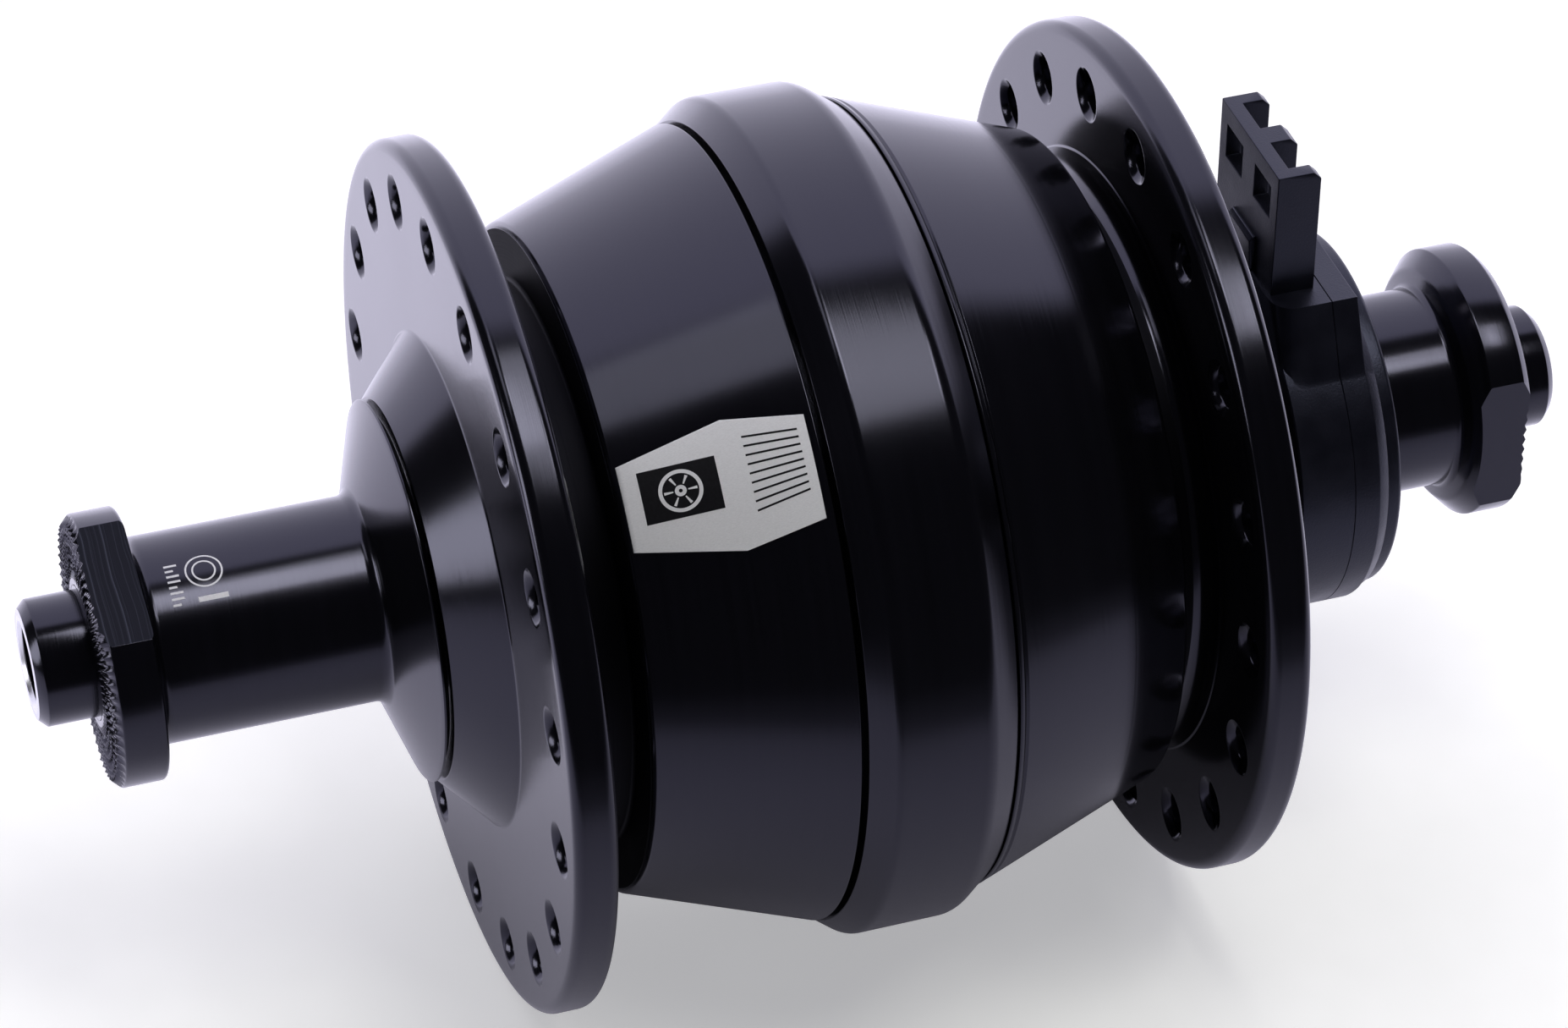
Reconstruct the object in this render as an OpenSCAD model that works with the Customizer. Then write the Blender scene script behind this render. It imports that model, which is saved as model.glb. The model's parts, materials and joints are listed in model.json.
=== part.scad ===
// Front bicycle hub dynamo for rim brakes and a quick-release skewer.
// The axle lies along Y. The origin is on the axle, midway between the two
// faces that meet the fork. The connector is at the +Y end and points to +Z.
// All values are millimetres.

/* [Axle] */
// Distance between the two faces that meet the fork
over_locknut = 100; // [96:1:104]
// Length of each axle end beyond its fork face
axle_end_length = 4; // [3:0.5:5]
// Diameter of the axle ends that sit in the fork
axle_end_d = 8.6; // [8.4:0.1:9]
// Diameter of the hollow axle inside the hub
axle_d = 10; // [9.8:0.1:10]
// Bore for the quick-release skewer
skewer_bore_d = 5.4; // [5:0.1:5.6]

/* [Spoke flanges] */
// Outside diameter of both flanges
flange_d = 59.8; // [57:0.2:62]
// Thickness of each flange
flange_thickness = 3; // [2.4:0.1:3.2]
// Distance from the hub centre to the middle of each flange
flange_centre = 23.5; // [23:0.1:23.8]
// Pitch circle of the spoke holes
spoke_circle_d = 52; // [50:0.5:53]
// Spoke holes in each flange
spokes_per_flange = 18; // [12:2:18]
// Diameter of a spoke hole
spoke_hole_d = 2.8; // [2.4:0.1:3]
// Width across a spoke hole's countersink
countersink_d = 3.7; // [3.2:0.1:3.8]

/* [Shell] */
// Outside diameter of the centre band
band_d = 58; // [57:0.2:59]
// Radius of a shell cone where it meets the centre band
cone_large_r = 27.6; // [27.2:0.1:27.8]
// Radius of a shell cone at its shoulder
cone_small_r = 23; // [22.4:0.1:23.2]
// Radius of the neck between a cone and its flange
neck_r = 19.3; // [19:0.1:19.6]
// Width of the gap between a turning shell and a still end part
running_gap = 0.45; // [0.3:0.05:0.5]

/* [End parts] */
// Diameter of the discs that clamp in the fork
disc_d = 18.5; // [17:0.1:19]
// Distance across the two wrench flats of each disc
wrench_flats = 16; // [15.4:0.1:16.6]
// Diameter of the two sleeves between the discs and the hub body
sleeve_d = 14; // [13.4:0.1:14.4]
// Teeth in the ring that bites into the fork
bite_teeth = 48; // [24:4:60]

/* [Connector] */
// Radius of the round plastic housing
housing_r = 13.4; // [13:0.1:13.6]
// Height of the pedestal's flat top above the axle's centre line
pedestal_top = 14.5; // [14.2:0.1:15]
// Height of the contact tower's top above the axle's centre line
tower_top = 24; // [22:0.5:26]
// Width of the contact tower
tower_width = 10.2; // [10:0.1:10.8]

/* [Generator] */
// Magnetic poles around the rotor
poles = 28; // [24:2:28]
// Outside radius of the claw poles
stator_r = 20; // [19.6:0.1:20]
// Gap between the claw poles and the magnets
air_gap = 0.4; // [0.3:0.05:0.5]
// Thickness of the magnets
magnet_thickness = 1.8; // [1.6:0.1:1.8]

/* [Bearings] */
// Balls in each bearing
balls_per_bearing = 11; // [9:1:12]
// Diameter of a ball
ball_d = 3.175; // [3:0.005:3.2]

/* [Badge] */
// Thickness of the badge
badge_thickness = 0.15; // [0.1:0.05:0.3]
// Direction in which the badge faces, turned up from +X
badge_angle = 45; // [0:1:359]

/* [Hidden] */
$fn = 128;
arc_steps = 6;
eps = 0.01;
fit = 0.02;

// Axle
axle_r = axle_d / 2;
axle_end_r = axle_end_d / 2;
bore_r = skewer_bore_d / 2;
half_locknut = over_locknut / 2;
axle_half = half_locknut + axle_end_length;
axle_land_r = axle_end_r + 0.25;
axle_shoulder = half_locknut - 4;
end_chamfer = 0.6;
lead_slot_width = 2.3;
lead_slot_floor = 3.8;
lead_slot_from = 13;
lead_slot_to = 33.6;

// Flanges and shell
flange_r = flange_d / 2;
flange_out = flange_centre + flange_thickness / 2;
flange_in = flange_centre - flange_thickness / 2;
flange_edge = 0.8;
spoke_circle_r = spoke_circle_d / 2;
left_spoke_phase = -5;
right_spoke_phase = left_spoke_phase + 180 / spokes_per_flange;
boss_face = 28.45;
boss_r = 13.1;
boss_foot_r = 17;
neck_fillet = 1.5;
left_shoulder = 17.9;
right_shoulder = 18.95;
left_joint = 5.15;
right_joint = 5.6;
band_left = 4.75;
band_right = 5.45;
band_left_corner = 3.05;
band_right_corner = 3.35;
band_left_edge_r = 27.67;
band_right_edge_r = 27.5;
tongue_r = 25.2;
tongue_end = 1.2;
line_groove_y = 6.1;
line_groove_size = 0.16;
cavity_taper_from = 14.5;
cavity_taper_to = 18.6;
cavity_neck_r = 17;
bearing_stop = 0.6;
seat_r = 11;
seal_seat_r = 12;

// Generator
cavity_r = stator_r + 0.8;
stator_half = 9.6;
plate_thickness = 2.4;
pole_pitch = 360 / poles;
claws = poles / 2;
claw_width = 8.4;
claw_thickness = 1.5;
plate_r = stator_r - 2.1;
core_r = 10.4;
bobbin_r = stator_r - 1.8;
bobbin_wall = 1;
bobbin_half = stator_half - plate_thickness - 0.3;
winding_r = bobbin_r - 0.5;
magnet_in = stator_r + air_gap;
magnet_out = magnet_in + magnet_thickness;
magnet_half = 9.5;
magnet_gap = 0.8;
flux_half = 10;
flux_out = 23.6;
shell_bore_r = flux_out + fit;
nut_width_r = 7.5;
nut_thickness = 2.8;
washer_thickness = 0.5;
nut_face = stator_half + washer_thickness + 2 * fit;

// Bearings
bearing_in = 21.5;
bearing_width = 6;
bearing_centre = bearing_in + bearing_width / 2;
bearing_out = bearing_in + bearing_width;
ball_r = ball_d / 2;
ball_circle_r = 8;
groove_r = ball_r + 0.022;
inner_race_r = 6.9;
outer_race_r = 9.1;
cage_in = 7.4;
cage_out = 8.6;
cage_half = 1.9;
pocket_r = ball_r + 0.03;
shield_thickness = 0.25;
collar_r = 7.2;
spacer_r = 6.8;

// End parts
disc_r = disc_d / 2;
right_disc_r = disc_r + 0.25;
sleeve_r = sleeve_d / 2;
disc_inner_face = half_locknut - 3.5;
disc_chamfer = 0.6;
flare_start = 31.16;
flare_lip = 29.15;
flare_face = boss_face + running_gap;
flare_r = 13.05;
bite_in = 5.4;
bite_out = 8.35;
bite_depth = 0.35;
left_flat_angle = 70;
right_flat_angle = 0;

// Connector
housing_in = flange_out + 6;
housing_neck_from = 28.7;
housing_neck_r = 12;
parting = housing_in + 3.9;
cap_end = parting + 2.7;
cap_chamfer = 0.8;
cover_end = cap_end + 1.1;
cover_r = 12.6;
pedestal_half = 7;
pedestal_foot_x = 9.15;
pedestal_corner = 1.5;
tower_front = housing_in + 0.24;
tower_back = tower_front + 3.1;
tower_plate = 1.1;
tower_half = tower_width / 2;
tower_side_rib = 1.05;
tower_mid_rib = 1.85;
tower_chamfer = 0.55;
window_low = tower_top - 3.95;
window_high = tower_top - 1.4;
window_inset = 0.15;
channel_width = (tower_width - 2 * tower_side_rib - tower_mid_rib) / 2;
channel_x = (tower_mid_rib + channel_width) / 2;
latch_width = 3.8;
latch_height = 2.7;
latch_depth = 0.45;
blade_width = 2.2;
blade_thickness = 0.4;
blade_low = 12.2;
blade_high = tower_top - 4.6;
blade_front = tower_front + tower_plate + 0.05;
wire_r = 0.45;
wire_spacing = 0.55;
wire_high = 12.4;
wire_low = 4.4;
wire_turn = 7.6;
wire_rise_y = parting - 1.9;
wire_drop_y = 13.6;
wire_bend = 1;
wire_bend_steps = 4;
wire_sides = 10;

// Badge: half widths at its narrow left end, its widest place and its right end
badge_left = -17.45;
badge_middle = -10.7;
badge_right = -5.75;
badge_left_half = 2.77;
badge_middle_half = 4.24;
badge_right_half = 3.37;

// A profile's corner as an arc of the given radius. Points are [radius, y].
function unit(v) = v / norm(v);
function corner_arc(a, p, b, rad) =
    let (
        u = unit(a - p),
        v = unit(b - p),
        half = acos(u * v) / 2,
        c = p + unit(u + v) * rad / sin(half),
        s = p + u * rad / tan(half) - c,
        e = p + v * rad / tan(half) - c,
        from = atan2(s[1], s[0]),
        sweep = (atan2(e[1], e[0]) - from + 540) % 360 - 180
    )
    [
        for (i = [0:arc_steps])
            let (turn = from + sweep * i / arc_steps)
            c + rad * [cos(turn), sin(turn)]
    ];
function flat_point(p) = [p[0], p[1]];
// Rounds each corner of a profile whose points are [radius, y, corner radius]
function rounded(p) =
    let (n = len(p))
    [
        for (i = [0:n - 1])
            let (
                before = flat_point(p[(i + n - 1) % n]),
                here = flat_point(p[i]),
                after = flat_point(p[(i + 1) % n])
            )
            each (p[i][2] == 0 ? [here] : corner_arc(before, here, after, p[i][2]))
    ];
// The same profile on the other side of the hub's middle
function mirrored(p) = [for (q = p) [q[0], -q[1], q[2]]];

// Turns a profile around the axle's centre line
module lathe(profile) {
    rotate([-90, 0, 0]) rotate_extrude() polygon(rounded(profile));
}

// A plain ring on the axle's centre line
module ring(r_in, r_out, y0, y1) {
    lathe([[r_in, y0, 0], [r_out, y0, 0], [r_out, y1, 0], [r_in, y1, 0]]);
}

// A round bar or hole along Y
module bar(r, y0, y1) {
    translate([0, y0, 0]) rotate([-90, 0, 0]) cylinder(r = r, h = y1 - y0);
}

// Turns its children by an angle from +X towards +Z
module around(angle) {
    rotate([0, -angle, 0]) children();
}

// A block between two corners
module block(low, high) {
    translate(low) cube(high - low);
}

// ---- Axle and end parts ----

module axle() {
    color("dimgray") difference() {
        lathe([
            [bore_r, -axle_half, 0],
            [axle_end_r - end_chamfer, -axle_half, 0],
            [axle_end_r, -axle_half + end_chamfer, 0],
            [axle_end_r, -half_locknut, 0],
            [axle_land_r, -half_locknut, 0],
            [axle_land_r, -axle_shoulder, 0],
            [axle_r, -axle_shoulder, 0],
            [axle_r, axle_shoulder, 0],
            [axle_land_r, axle_shoulder, 0],
            [axle_land_r, half_locknut, 0],
            [axle_end_r, half_locknut, 0],
            [axle_end_r, axle_half - end_chamfer, 0],
            [axle_end_r - end_chamfer, axle_half, 0],
            [bore_r, axle_half, 0]
        ]);
        block([-lead_slot_width / 2, lead_slot_from, lead_slot_floor],
              [lead_slot_width / 2, lead_slot_to, axle_r + 1]);
    }
}

// Radial V grooves in the clamping face at y = face, which looks to side
module bite_grooves(face, side) {
    half_width = 0.3;
    for (i = [0:bite_teeth - 1])
        around(i * 360 / bite_teeth)
            translate([bite_in, face, 0])
                rotate([90, 0, 90])
                    linear_extrude(bite_out - bite_in)
                        polygon([
                            [side * eps, -half_width],
                            [side * eps, half_width],
                            [-side * bite_depth, 0]
                        ]);
}

// The part of a clamping disc that its two wrench flats leave
module wrench_cut(angle, y0, y1) {
    for (turn = [0, 180])
        around(angle + turn)
            block([wrench_flats / 2, y0, -disc_r], [disc_r + 1, y1, disc_r]);
}

module flared_sleeve() {
    color("#1c1d21") difference() {
        lathe([
            [axle_land_r + fit, -half_locknut, 0],
            [disc_r - disc_chamfer, -half_locknut, 0],
            [disc_r, -half_locknut + disc_chamfer, 0.15],
            [disc_r, -disc_inner_face, 0.3],
            [sleeve_r, -disc_inner_face, 0.8],
            [sleeve_r, -flare_start, 0.8],
            [flare_r - 0.35, -flare_lip, 0.4],
            [flare_r, -flare_face - 0.15, 0],
            [flare_r, -flare_face, 0],
            [inner_race_r, -flare_face, 0],
            [inner_race_r, -bearing_out - fit, 0],
            [axle_r + fit, -bearing_out - fit, 0],
            [axle_r + fit, -axle_shoulder - fit, 0],
            [axle_land_r + fit, -axle_shoulder - fit, 0]
        ]);
        wrench_cut(left_flat_angle, -half_locknut - 1, -disc_inner_face);
        bite_grooves(-half_locknut, -1);
    }
}

module end_sleeve() {
    color("#1c1d21") difference() {
        lathe([
            [axle_land_r + fit, half_locknut, 0],
            [axle_land_r + fit, axle_shoulder + fit, 0],
            [axle_r + fit, axle_shoulder + fit, 0],
            [axle_r + fit, cover_end + fit, 0],
            [sleeve_r, cover_end + fit, 0],
            [sleeve_r, half_locknut - 4.4, 0.5],
            [right_disc_r - 1.25, half_locknut - 4.15, 0.8],
            [right_disc_r, half_locknut - 3, 0.7],
            [right_disc_r, half_locknut - disc_chamfer, 0.3],
            [right_disc_r - disc_chamfer, half_locknut, 0]
        ]);
        wrench_cut(right_flat_angle, half_locknut - 4.6, half_locknut + 1);
        bite_grooves(half_locknut, 1);
    }
}

// ---- Bearings ----

module inner_race(y) {
    color("lightsteelblue") rotate([-90, 0, 0]) rotate_extrude() difference() {
        translate([axle_r + fit, y - bearing_width / 2])
            square([inner_race_r - axle_r - fit, bearing_width]);
        translate([ball_circle_r, y]) circle(groove_r);
    }
}

module outer_race(y) {
    color("lightsteelblue") rotate([-90, 0, 0]) rotate_extrude() difference() {
        translate([outer_race_r, y - bearing_width / 2])
            square([seat_r - outer_race_r - fit, bearing_width]);
        translate([ball_circle_r, y]) circle(groove_r);
    }
}

module balls(y) {
    color("silver")
        for (i = [0:balls_per_bearing - 1])
            around(i * 360 / balls_per_bearing)
                translate([ball_circle_r, y, 0]) sphere(ball_r);
}

module ball_cage(y) {
    color("goldenrod") difference() {
        ring(cage_in, cage_out, y - cage_half, y + cage_half);
        for (i = [0:balls_per_bearing - 1])
            around(i * 360 / balls_per_bearing)
                translate([cage_in - 1, y, 0])
                    rotate([0, 90, 0])
                        cylinder(r = pocket_r, h = cage_out - cage_in + 2);
    }
}

module bearing_shields(y) {
    color("#303236")
        for (side = [-1, 1])
            translate([0, y + side * (bearing_width / 2 - shield_thickness), 0])
                ring(inner_race_r + 0.15, outer_race_r - fit,
                     -shield_thickness / 2, shield_thickness / 2);
}

module left_inner_race() { inner_race(-bearing_centre); }
module right_inner_race() { inner_race(bearing_centre); }
module left_outer_race() { outer_race(-bearing_centre); }
module right_outer_race() { outer_race(bearing_centre); }
module left_balls() { balls(-bearing_centre); }
module right_balls() { balls(bearing_centre); }
module left_ball_cage() { ball_cage(-bearing_centre); }
module right_ball_cage() { ball_cage(bearing_centre); }
module left_bearing_shields() { bearing_shields(-bearing_centre); }
module right_bearing_shields() { bearing_shields(bearing_centre); }

module left_spacer() {
    color("gray") ring(axle_r + fit, spacer_r, -bearing_in + fit, -nut_face - nut_thickness - fit);
}

module right_spacer() {
    color("gray") ring(axle_r + fit, spacer_r, wire_drop_y + 0.8, bearing_in - fit);
}

module bearing_collar() {
    color("gray") ring(axle_r + fit, collar_r, bearing_out + fit, housing_in + 0.2);
}

module left_dust_seal() {
    color("#151515") ring(inner_race_r + 0.2, seal_seat_r - fit, -boss_face + 0.2, -bearing_out - 0.1);
}

module right_dust_seal() {
    color("#151515") ring(collar_r + 0.2, seal_seat_r - fit, bearing_out + 0.1, boss_face - 0.4);
}

// ---- Stator ----

module stator_nut(y0) {
    color("gray") difference() {
        translate([0, y0, 0]) rotate([-90, 0, 0]) cylinder(r = nut_width_r, h = nut_thickness, $fn = 6);
        bar(axle_r + fit, y0 - 1, y0 + nut_thickness + 1);
    }
}

module left_stator_nut() { stator_nut(-nut_face - nut_thickness); }
module right_stator_nut() { stator_nut(nut_face); }

module left_stator_washer() {
    inner_face = stator_half + fit;
    color("silver") ring(axle_r + fit, nut_width_r, -inner_face - washer_thickness, -inner_face);
}

module right_stator_washer() {
    inner_face = stator_half + fit;
    color("silver") ring(axle_r + fit, nut_width_r, inner_face, inner_face + washer_thickness);
}

// Ring sectors centred on every second pole, extruded from y0 to y1
module sectors(r_in, r_out, width, phase, count, y0, y1) {
    reach = r_out * 1.2;
    translate([0, y1, 0]) rotate([90, 0, 0]) linear_extrude(y1 - y0)
        for (i = [0:count - 1])
            rotate(phase + i * 360 / count)
                intersection() {
                    difference() {
                        circle(r_out);
                        circle(r_in);
                    }
                    polygon([[0, 0],
                             reach * [cos(width / 2), -sin(width / 2)],
                             reach * [cos(width / 2), sin(width / 2)]]);
                }
}

// One claw-pole plate. Its disc is at the end given by side, and its claws
// reach across the coil to just short of the other plate.
module claw_plate(side, phase) {
    disc_near = stator_half - plate_thickness;
    claw_reach = disc_near + 0.3;
    color("slategray") union() {
        ring(axle_r + fit, plate_r,
             side < 0 ? -stator_half : disc_near, side < 0 ? -disc_near : stator_half);
        sectors(plate_r - 0.4, stator_r, claw_width, phase, claws,
                side < 0 ? -stator_half : disc_near, side < 0 ? -disc_near : stator_half);
        sectors(stator_r - claw_thickness, stator_r, claw_width, phase, claws,
                side < 0 ? -disc_near - eps : -claw_reach, side < 0 ? claw_reach : disc_near + eps);
    }
}

module left_claw_plate() { claw_plate(-1, 0); }

module right_claw_plate() {
    difference() {
        claw_plate(1, pole_pitch);
        lead_holes(stator_half - plate_thickness - 1, stator_half + 1);
    }
}

// Clearance holes for both coil leads
module lead_holes(y0, y1) {
    for (side = [-1, 1])
        translate([side * wire_spacing * 1.6, 0, wire_high]) bar(wire_r + 0.1, y0, y1);
}

module stator_core() {
    color("slategray") ring(axle_r + fit, core_r, -stator_half + plate_thickness + fit,
                            stator_half - plate_thickness - fit);
}

module coil_bobbin() {
    color("ivory") difference() {
        lathe([
            [core_r + fit, -bobbin_half, 0],
            [bobbin_r, -bobbin_half, 0],
            [bobbin_r, -bobbin_half + bobbin_wall, 0],
            [core_r + bobbin_wall, -bobbin_half + bobbin_wall, 0],
            [core_r + bobbin_wall, bobbin_half - bobbin_wall, 0],
            [bobbin_r, bobbin_half - bobbin_wall, 0],
            [bobbin_r, bobbin_half, 0],
            [core_r + fit, bobbin_half, 0]
        ]);
        lead_holes(bobbin_half - bobbin_wall - 1, bobbin_half + 1);
    }
}

module coil_winding() {
    color("peru") ring(core_r + bobbin_wall + fit, winding_r,
                       -bobbin_half + bobbin_wall + fit, bobbin_half - bobbin_wall - fit);
}

// A route with each inner corner rounded by a curve that starts bend before it
function rounded_route(p) = [
    p[0],
    for (i = [1:len(p) - 2])
        let (
            from = p[i] + unit(p[i - 1] - p[i]) * wire_bend,
            to = p[i] + unit(p[i + 1] - p[i]) * wire_bend
        )
        for (k = [0:wire_bend_steps])
            let (t = k / wire_bend_steps)
            (1 - t) * (1 - t) * from + 2 * t * (1 - t) * p[i] + t * t * to,
    p[len(p) - 1]
];

// A ring of points around p, square to the direction d. No route runs along X.
function wire_ring(p, d) =
    let (u = unit(cross(d, [1, 0, 0])), v = cross(u, d))
    [for (k = [0:wire_sides - 1])
        p + wire_r * (cos(k * 360 / wire_sides) * u + sin(k * 360 / wire_sides) * v)];

// A round wire along a route
module wire(route) {
    last = len(route) - 1;
    rings = [for (i = [0:last])
        each wire_ring(route[i], unit(route[min(i + 1, last)] - route[max(i - 1, 0)]))];
    sides = [for (i = [0:last - 1], k = [0:wire_sides - 1])
        let (a = i * wire_sides + k, b = i * wire_sides + (k + 1) % wire_sides)
        [a, a + wire_sides, b + wire_sides, b]];
    start_cap = [for (k = [0:wire_sides - 1]) k];
    end_cap = [for (k = [wire_sides - 1:-1:0]) last * wire_sides + k];
    polyhedron(rings, concat([start_cap], sides, [end_cap]));
}

// One lead: through the claw plate, down to the slot in the axle, along it
// under the bearing, and up to the foot of its contact blade
module lead_wire(side) {
    x_high = side * wire_spacing * 1.6;
    x_low = side * wire_spacing;
    x_blade = side * channel_x;
    wire(rounded_route([
        [x_high, bobbin_half - bobbin_wall + fit, wire_high],
        [x_high, wire_drop_y, wire_high],
        [x_low, wire_drop_y, wire_low],
        [x_low, wire_rise_y, wire_low],
        [x_low, wire_rise_y, wire_turn],
        [x_blade, wire_rise_y, wire_turn + 2.4],
        [x_blade, wire_rise_y, blade_low - fit]
    ]));
}

module lead_wire_a() { color("firebrick") lead_wire(-1); }
module lead_wire_b() { color("black") lead_wire(1); }

// ---- Connector ----

// The pedestal's outline, seen along the axle
module pedestal_outline() {
    foot_z = sqrt(pow(housing_r - 0.1, 2) - pow(pedestal_foot_x, 2));
    polygon([
        [-pedestal_foot_x, foot_z],
        [-pedestal_half, pedestal_top],
        [pedestal_half, pedestal_top],
        [pedestal_foot_x, foot_z],
        [0, 0]
    ]);
}

// The pedestal as a solid from y0 to y1
module pedestal(y0, y1) {
    translate([0, y1, 0]) rotate([90, 0, 0]) linear_extrude(y1 - y0) pedestal_outline();
}

// Cuts the pedestal's two upright corners at the hub's side to a radius
module pedestal_corner_cut() {
    centre_x = pedestal_half - pedestal_corner;
    centre_y = housing_in + pedestal_corner;
    low = housing_r / 2;
    for (side = [0, 1])
        mirror([side, 0, 0])
            difference() {
                block([centre_x, housing_in - 1, low], [pedestal_foot_x + 2, centre_y, pedestal_top + 1]);
                translate([centre_x, centre_y, low - 1])
                    cylinder(r = pedestal_corner, h = pedestal_top + 3 - low);
            }
}

// Room inside the housing for the two leads and the feet of the blades
module lead_pocket() {
    room = wire_r + 0.25;
    wide = channel_x + wire_r + 0.85;
    blade_back = blade_front + blade_thickness;
    block([-wire_spacing - wire_r - 0.15, wire_rise_y - room, wire_low - 1],
          [wire_spacing + wire_r + 0.15, parting + 1, wire_turn + 0.9]);
    block([-wide, wire_rise_y - room, wire_turn - 0.6], [wide, parting + 1, blade_low + 1]);
    for (side = [-1, 1])
        block([side * channel_x - blade_width / 2 - 0.1, blade_front - 0.05, blade_low - 0.2],
              [side * channel_x + blade_width / 2 + 0.1, blade_back + 0.1, pedestal_top + 1]);
}

// Shape of a side wall or rib of the tower, seen along X, from the front plate backwards
module tower_rib(x0, x1) {
    translate([x0, 0, 0]) rotate([90, 0, 90]) linear_extrude(x1 - x0)
        polygon([
            [tower_front, pedestal_top - 1],
            [tower_back, pedestal_top - 1],
            [tower_back, tower_top - tower_chamfer],
            [tower_back - tower_chamfer, tower_top],
            [tower_front, tower_top]
        ]);
}

module contact_tower() {
    plate_back = tower_front + tower_plate;
    window_half = channel_width / 2 - window_inset;
    difference() {
        union() {
            block([-tower_half, tower_front, pedestal_top - 1], [tower_half, plate_back, tower_top]);
            tower_rib(-tower_half, -tower_half + tower_side_rib);
            tower_rib(-tower_mid_rib / 2, tower_mid_rib / 2);
            tower_rib(tower_half - tower_side_rib, tower_half);
        }
        for (side = [-1, 1])
            block([side * channel_x - window_half, tower_front - 1, window_low],
                  [side * channel_x + window_half, plate_back + 0.5, window_high]);
    }
    translate([-latch_width / 2, 0, 0]) rotate([90, 0, 90]) linear_extrude(latch_width)
        polygon([
            [tower_front + 0.1, pedestal_top - 1],
            [tower_front - latch_depth * 0.5, pedestal_top - 1],
            [tower_front - latch_depth, pedestal_top + latch_height - 0.3],
            [tower_front - latch_depth + 0.3, pedestal_top + latch_height],
            [tower_front + 0.1, pedestal_top + latch_height]
        ]);
}

module connector_base() {
    color("#26272a") difference() {
        union() {
            difference() {
                pedestal(housing_in, parting);
                pedestal_corner_cut();
            }
            bar(housing_r, housing_in, parting);
            bar(housing_neck_r, housing_neck_from, housing_in + 1);
            contact_tower();
        }
        bar(collar_r + 0.05, housing_neck_from - 1, housing_in + 0.25);
        bar(axle_r + fit, housing_neck_from - 1, parting + 1);
        lead_pocket();
    }
}

module connector_cap() {
    color("#26272a") difference() {
        union() {
            lathe([
                [axle_r + fit, parting + fit, 0],
                [housing_r, parting + fit, 0],
                [housing_r, cap_end - cap_chamfer, 0],
                [housing_r - 0.5, cap_end, 0],
                [axle_r + fit, cap_end, 0]
            ]);
            pedestal(parting + fit, cap_end - cap_chamfer);
        }
        bar(axle_r + fit, parting - 1, cap_end + 1);
    }
}

module connector_cover() {
    color("#1f2023") lathe([
        [axle_r + fit, cap_end + fit, 0],
        [cover_r, cap_end + fit, 0],
        [cover_r, cover_end, 0.3],
        [axle_r + fit, cover_end, 0]
    ]);
}

module contact_blade(side) {
    color("silver")
        block([side * channel_x - blade_width / 2, blade_front, blade_low],
              [side * channel_x + blade_width / 2, blade_front + blade_thickness, blade_high]);
}

module contact_blade_a() { contact_blade(-1); }
module contact_blade_b() { contact_blade(1); }

// ---- Shell ----

// Spoke holes through a flange that lies between y0 and y1, countersunk on both faces
module spoke_holes(y0, y1, phase) {
    sink = (countersink_d - spoke_hole_d) / 2;
    for (i = [0:spokes_per_flange - 1])
        around(phase + i * 360 / spokes_per_flange)
            translate([spoke_circle_r, 0, 0]) {
                bar(spoke_hole_d / 2, y0 - 1, y1 + 1);
                translate([0, y0 - eps, 0]) rotate([-90, 0, 0])
                    cylinder(r1 = countersink_d / 2 + eps, r2 = spoke_hole_d / 2, h = sink + eps);
                translate([0, y1 + eps, 0]) rotate([90, 0, 0])
                    cylinder(r1 = countersink_d / 2 + eps, r2 = spoke_hole_d / 2, h = sink + eps);
            }
}

// Half of the shell, drawn on the +Y side, from its bearing boss to the tongue inside the centre band
function shell_profile(boss_end, shoulder, joint) = [
    [boss_r, boss_end, 0.2],
    [boss_foot_r, flange_out, 0],
    [flange_r, flange_out, flange_edge],
    [flange_r, flange_in, flange_edge],
    [neck_r, flange_in, neck_fillet],
    [neck_r, shoulder, 0],
    [cone_small_r, shoulder, 0.5],
    [cone_large_r, joint, 0],
    [tongue_r, joint, 0],
    [tongue_r, tongue_end, 0],
    [shell_bore_r, tongue_end, 0],
    [shell_bore_r, flux_half + 0.1, 0],
    [magnet_out, flux_half + 0.1, 0],
    [cavity_r, cavity_taper_from, 0],
    [cavity_neck_r, cavity_taper_to, 0],
    [cavity_neck_r, bearing_in - 1.1, 0],
    [cavity_neck_r - 4.5, bearing_in - bearing_stop, 0],
    [seat_r - 1, bearing_in - bearing_stop, 0],
    [seat_r - 1, bearing_in - fit, 0],
    [seat_r, bearing_in - fit, 0],
    [seat_r, bearing_out + 0.05, 0],
    [seal_seat_r, bearing_out + 0.05, 0],
    [seal_seat_r, boss_end, 0]
];

// Groove for a sealing ring in a shell's tongue
module o_ring_groove(y) {
    ring(tongue_r - 0.8, tongue_r + 1, y - 0.5, y + 0.5);
}

module left_shell() {
    color("#1b1c20") difference() {
        lathe(mirrored(shell_profile(boss_face, left_shoulder, left_joint)));
        spoke_holes(-flange_out, -flange_in, left_spoke_phase);
        o_ring_groove(-3);
    }
}

module right_shell() {
    line_r = cone_large_r + 0.2;
    color("#1b1c20") difference() {
        lathe(shell_profile(boss_face - 0.25, right_shoulder, right_joint));
        spoke_holes(flange_in, flange_out, right_spoke_phase);
        o_ring_groove(3);
        lathe([
            [line_r, line_groove_y - line_groove_size, 0],
            [cone_large_r - 0.35, line_groove_y, 0],
            [line_r, line_groove_y + line_groove_size, 0]
        ]);
    }
}

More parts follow.
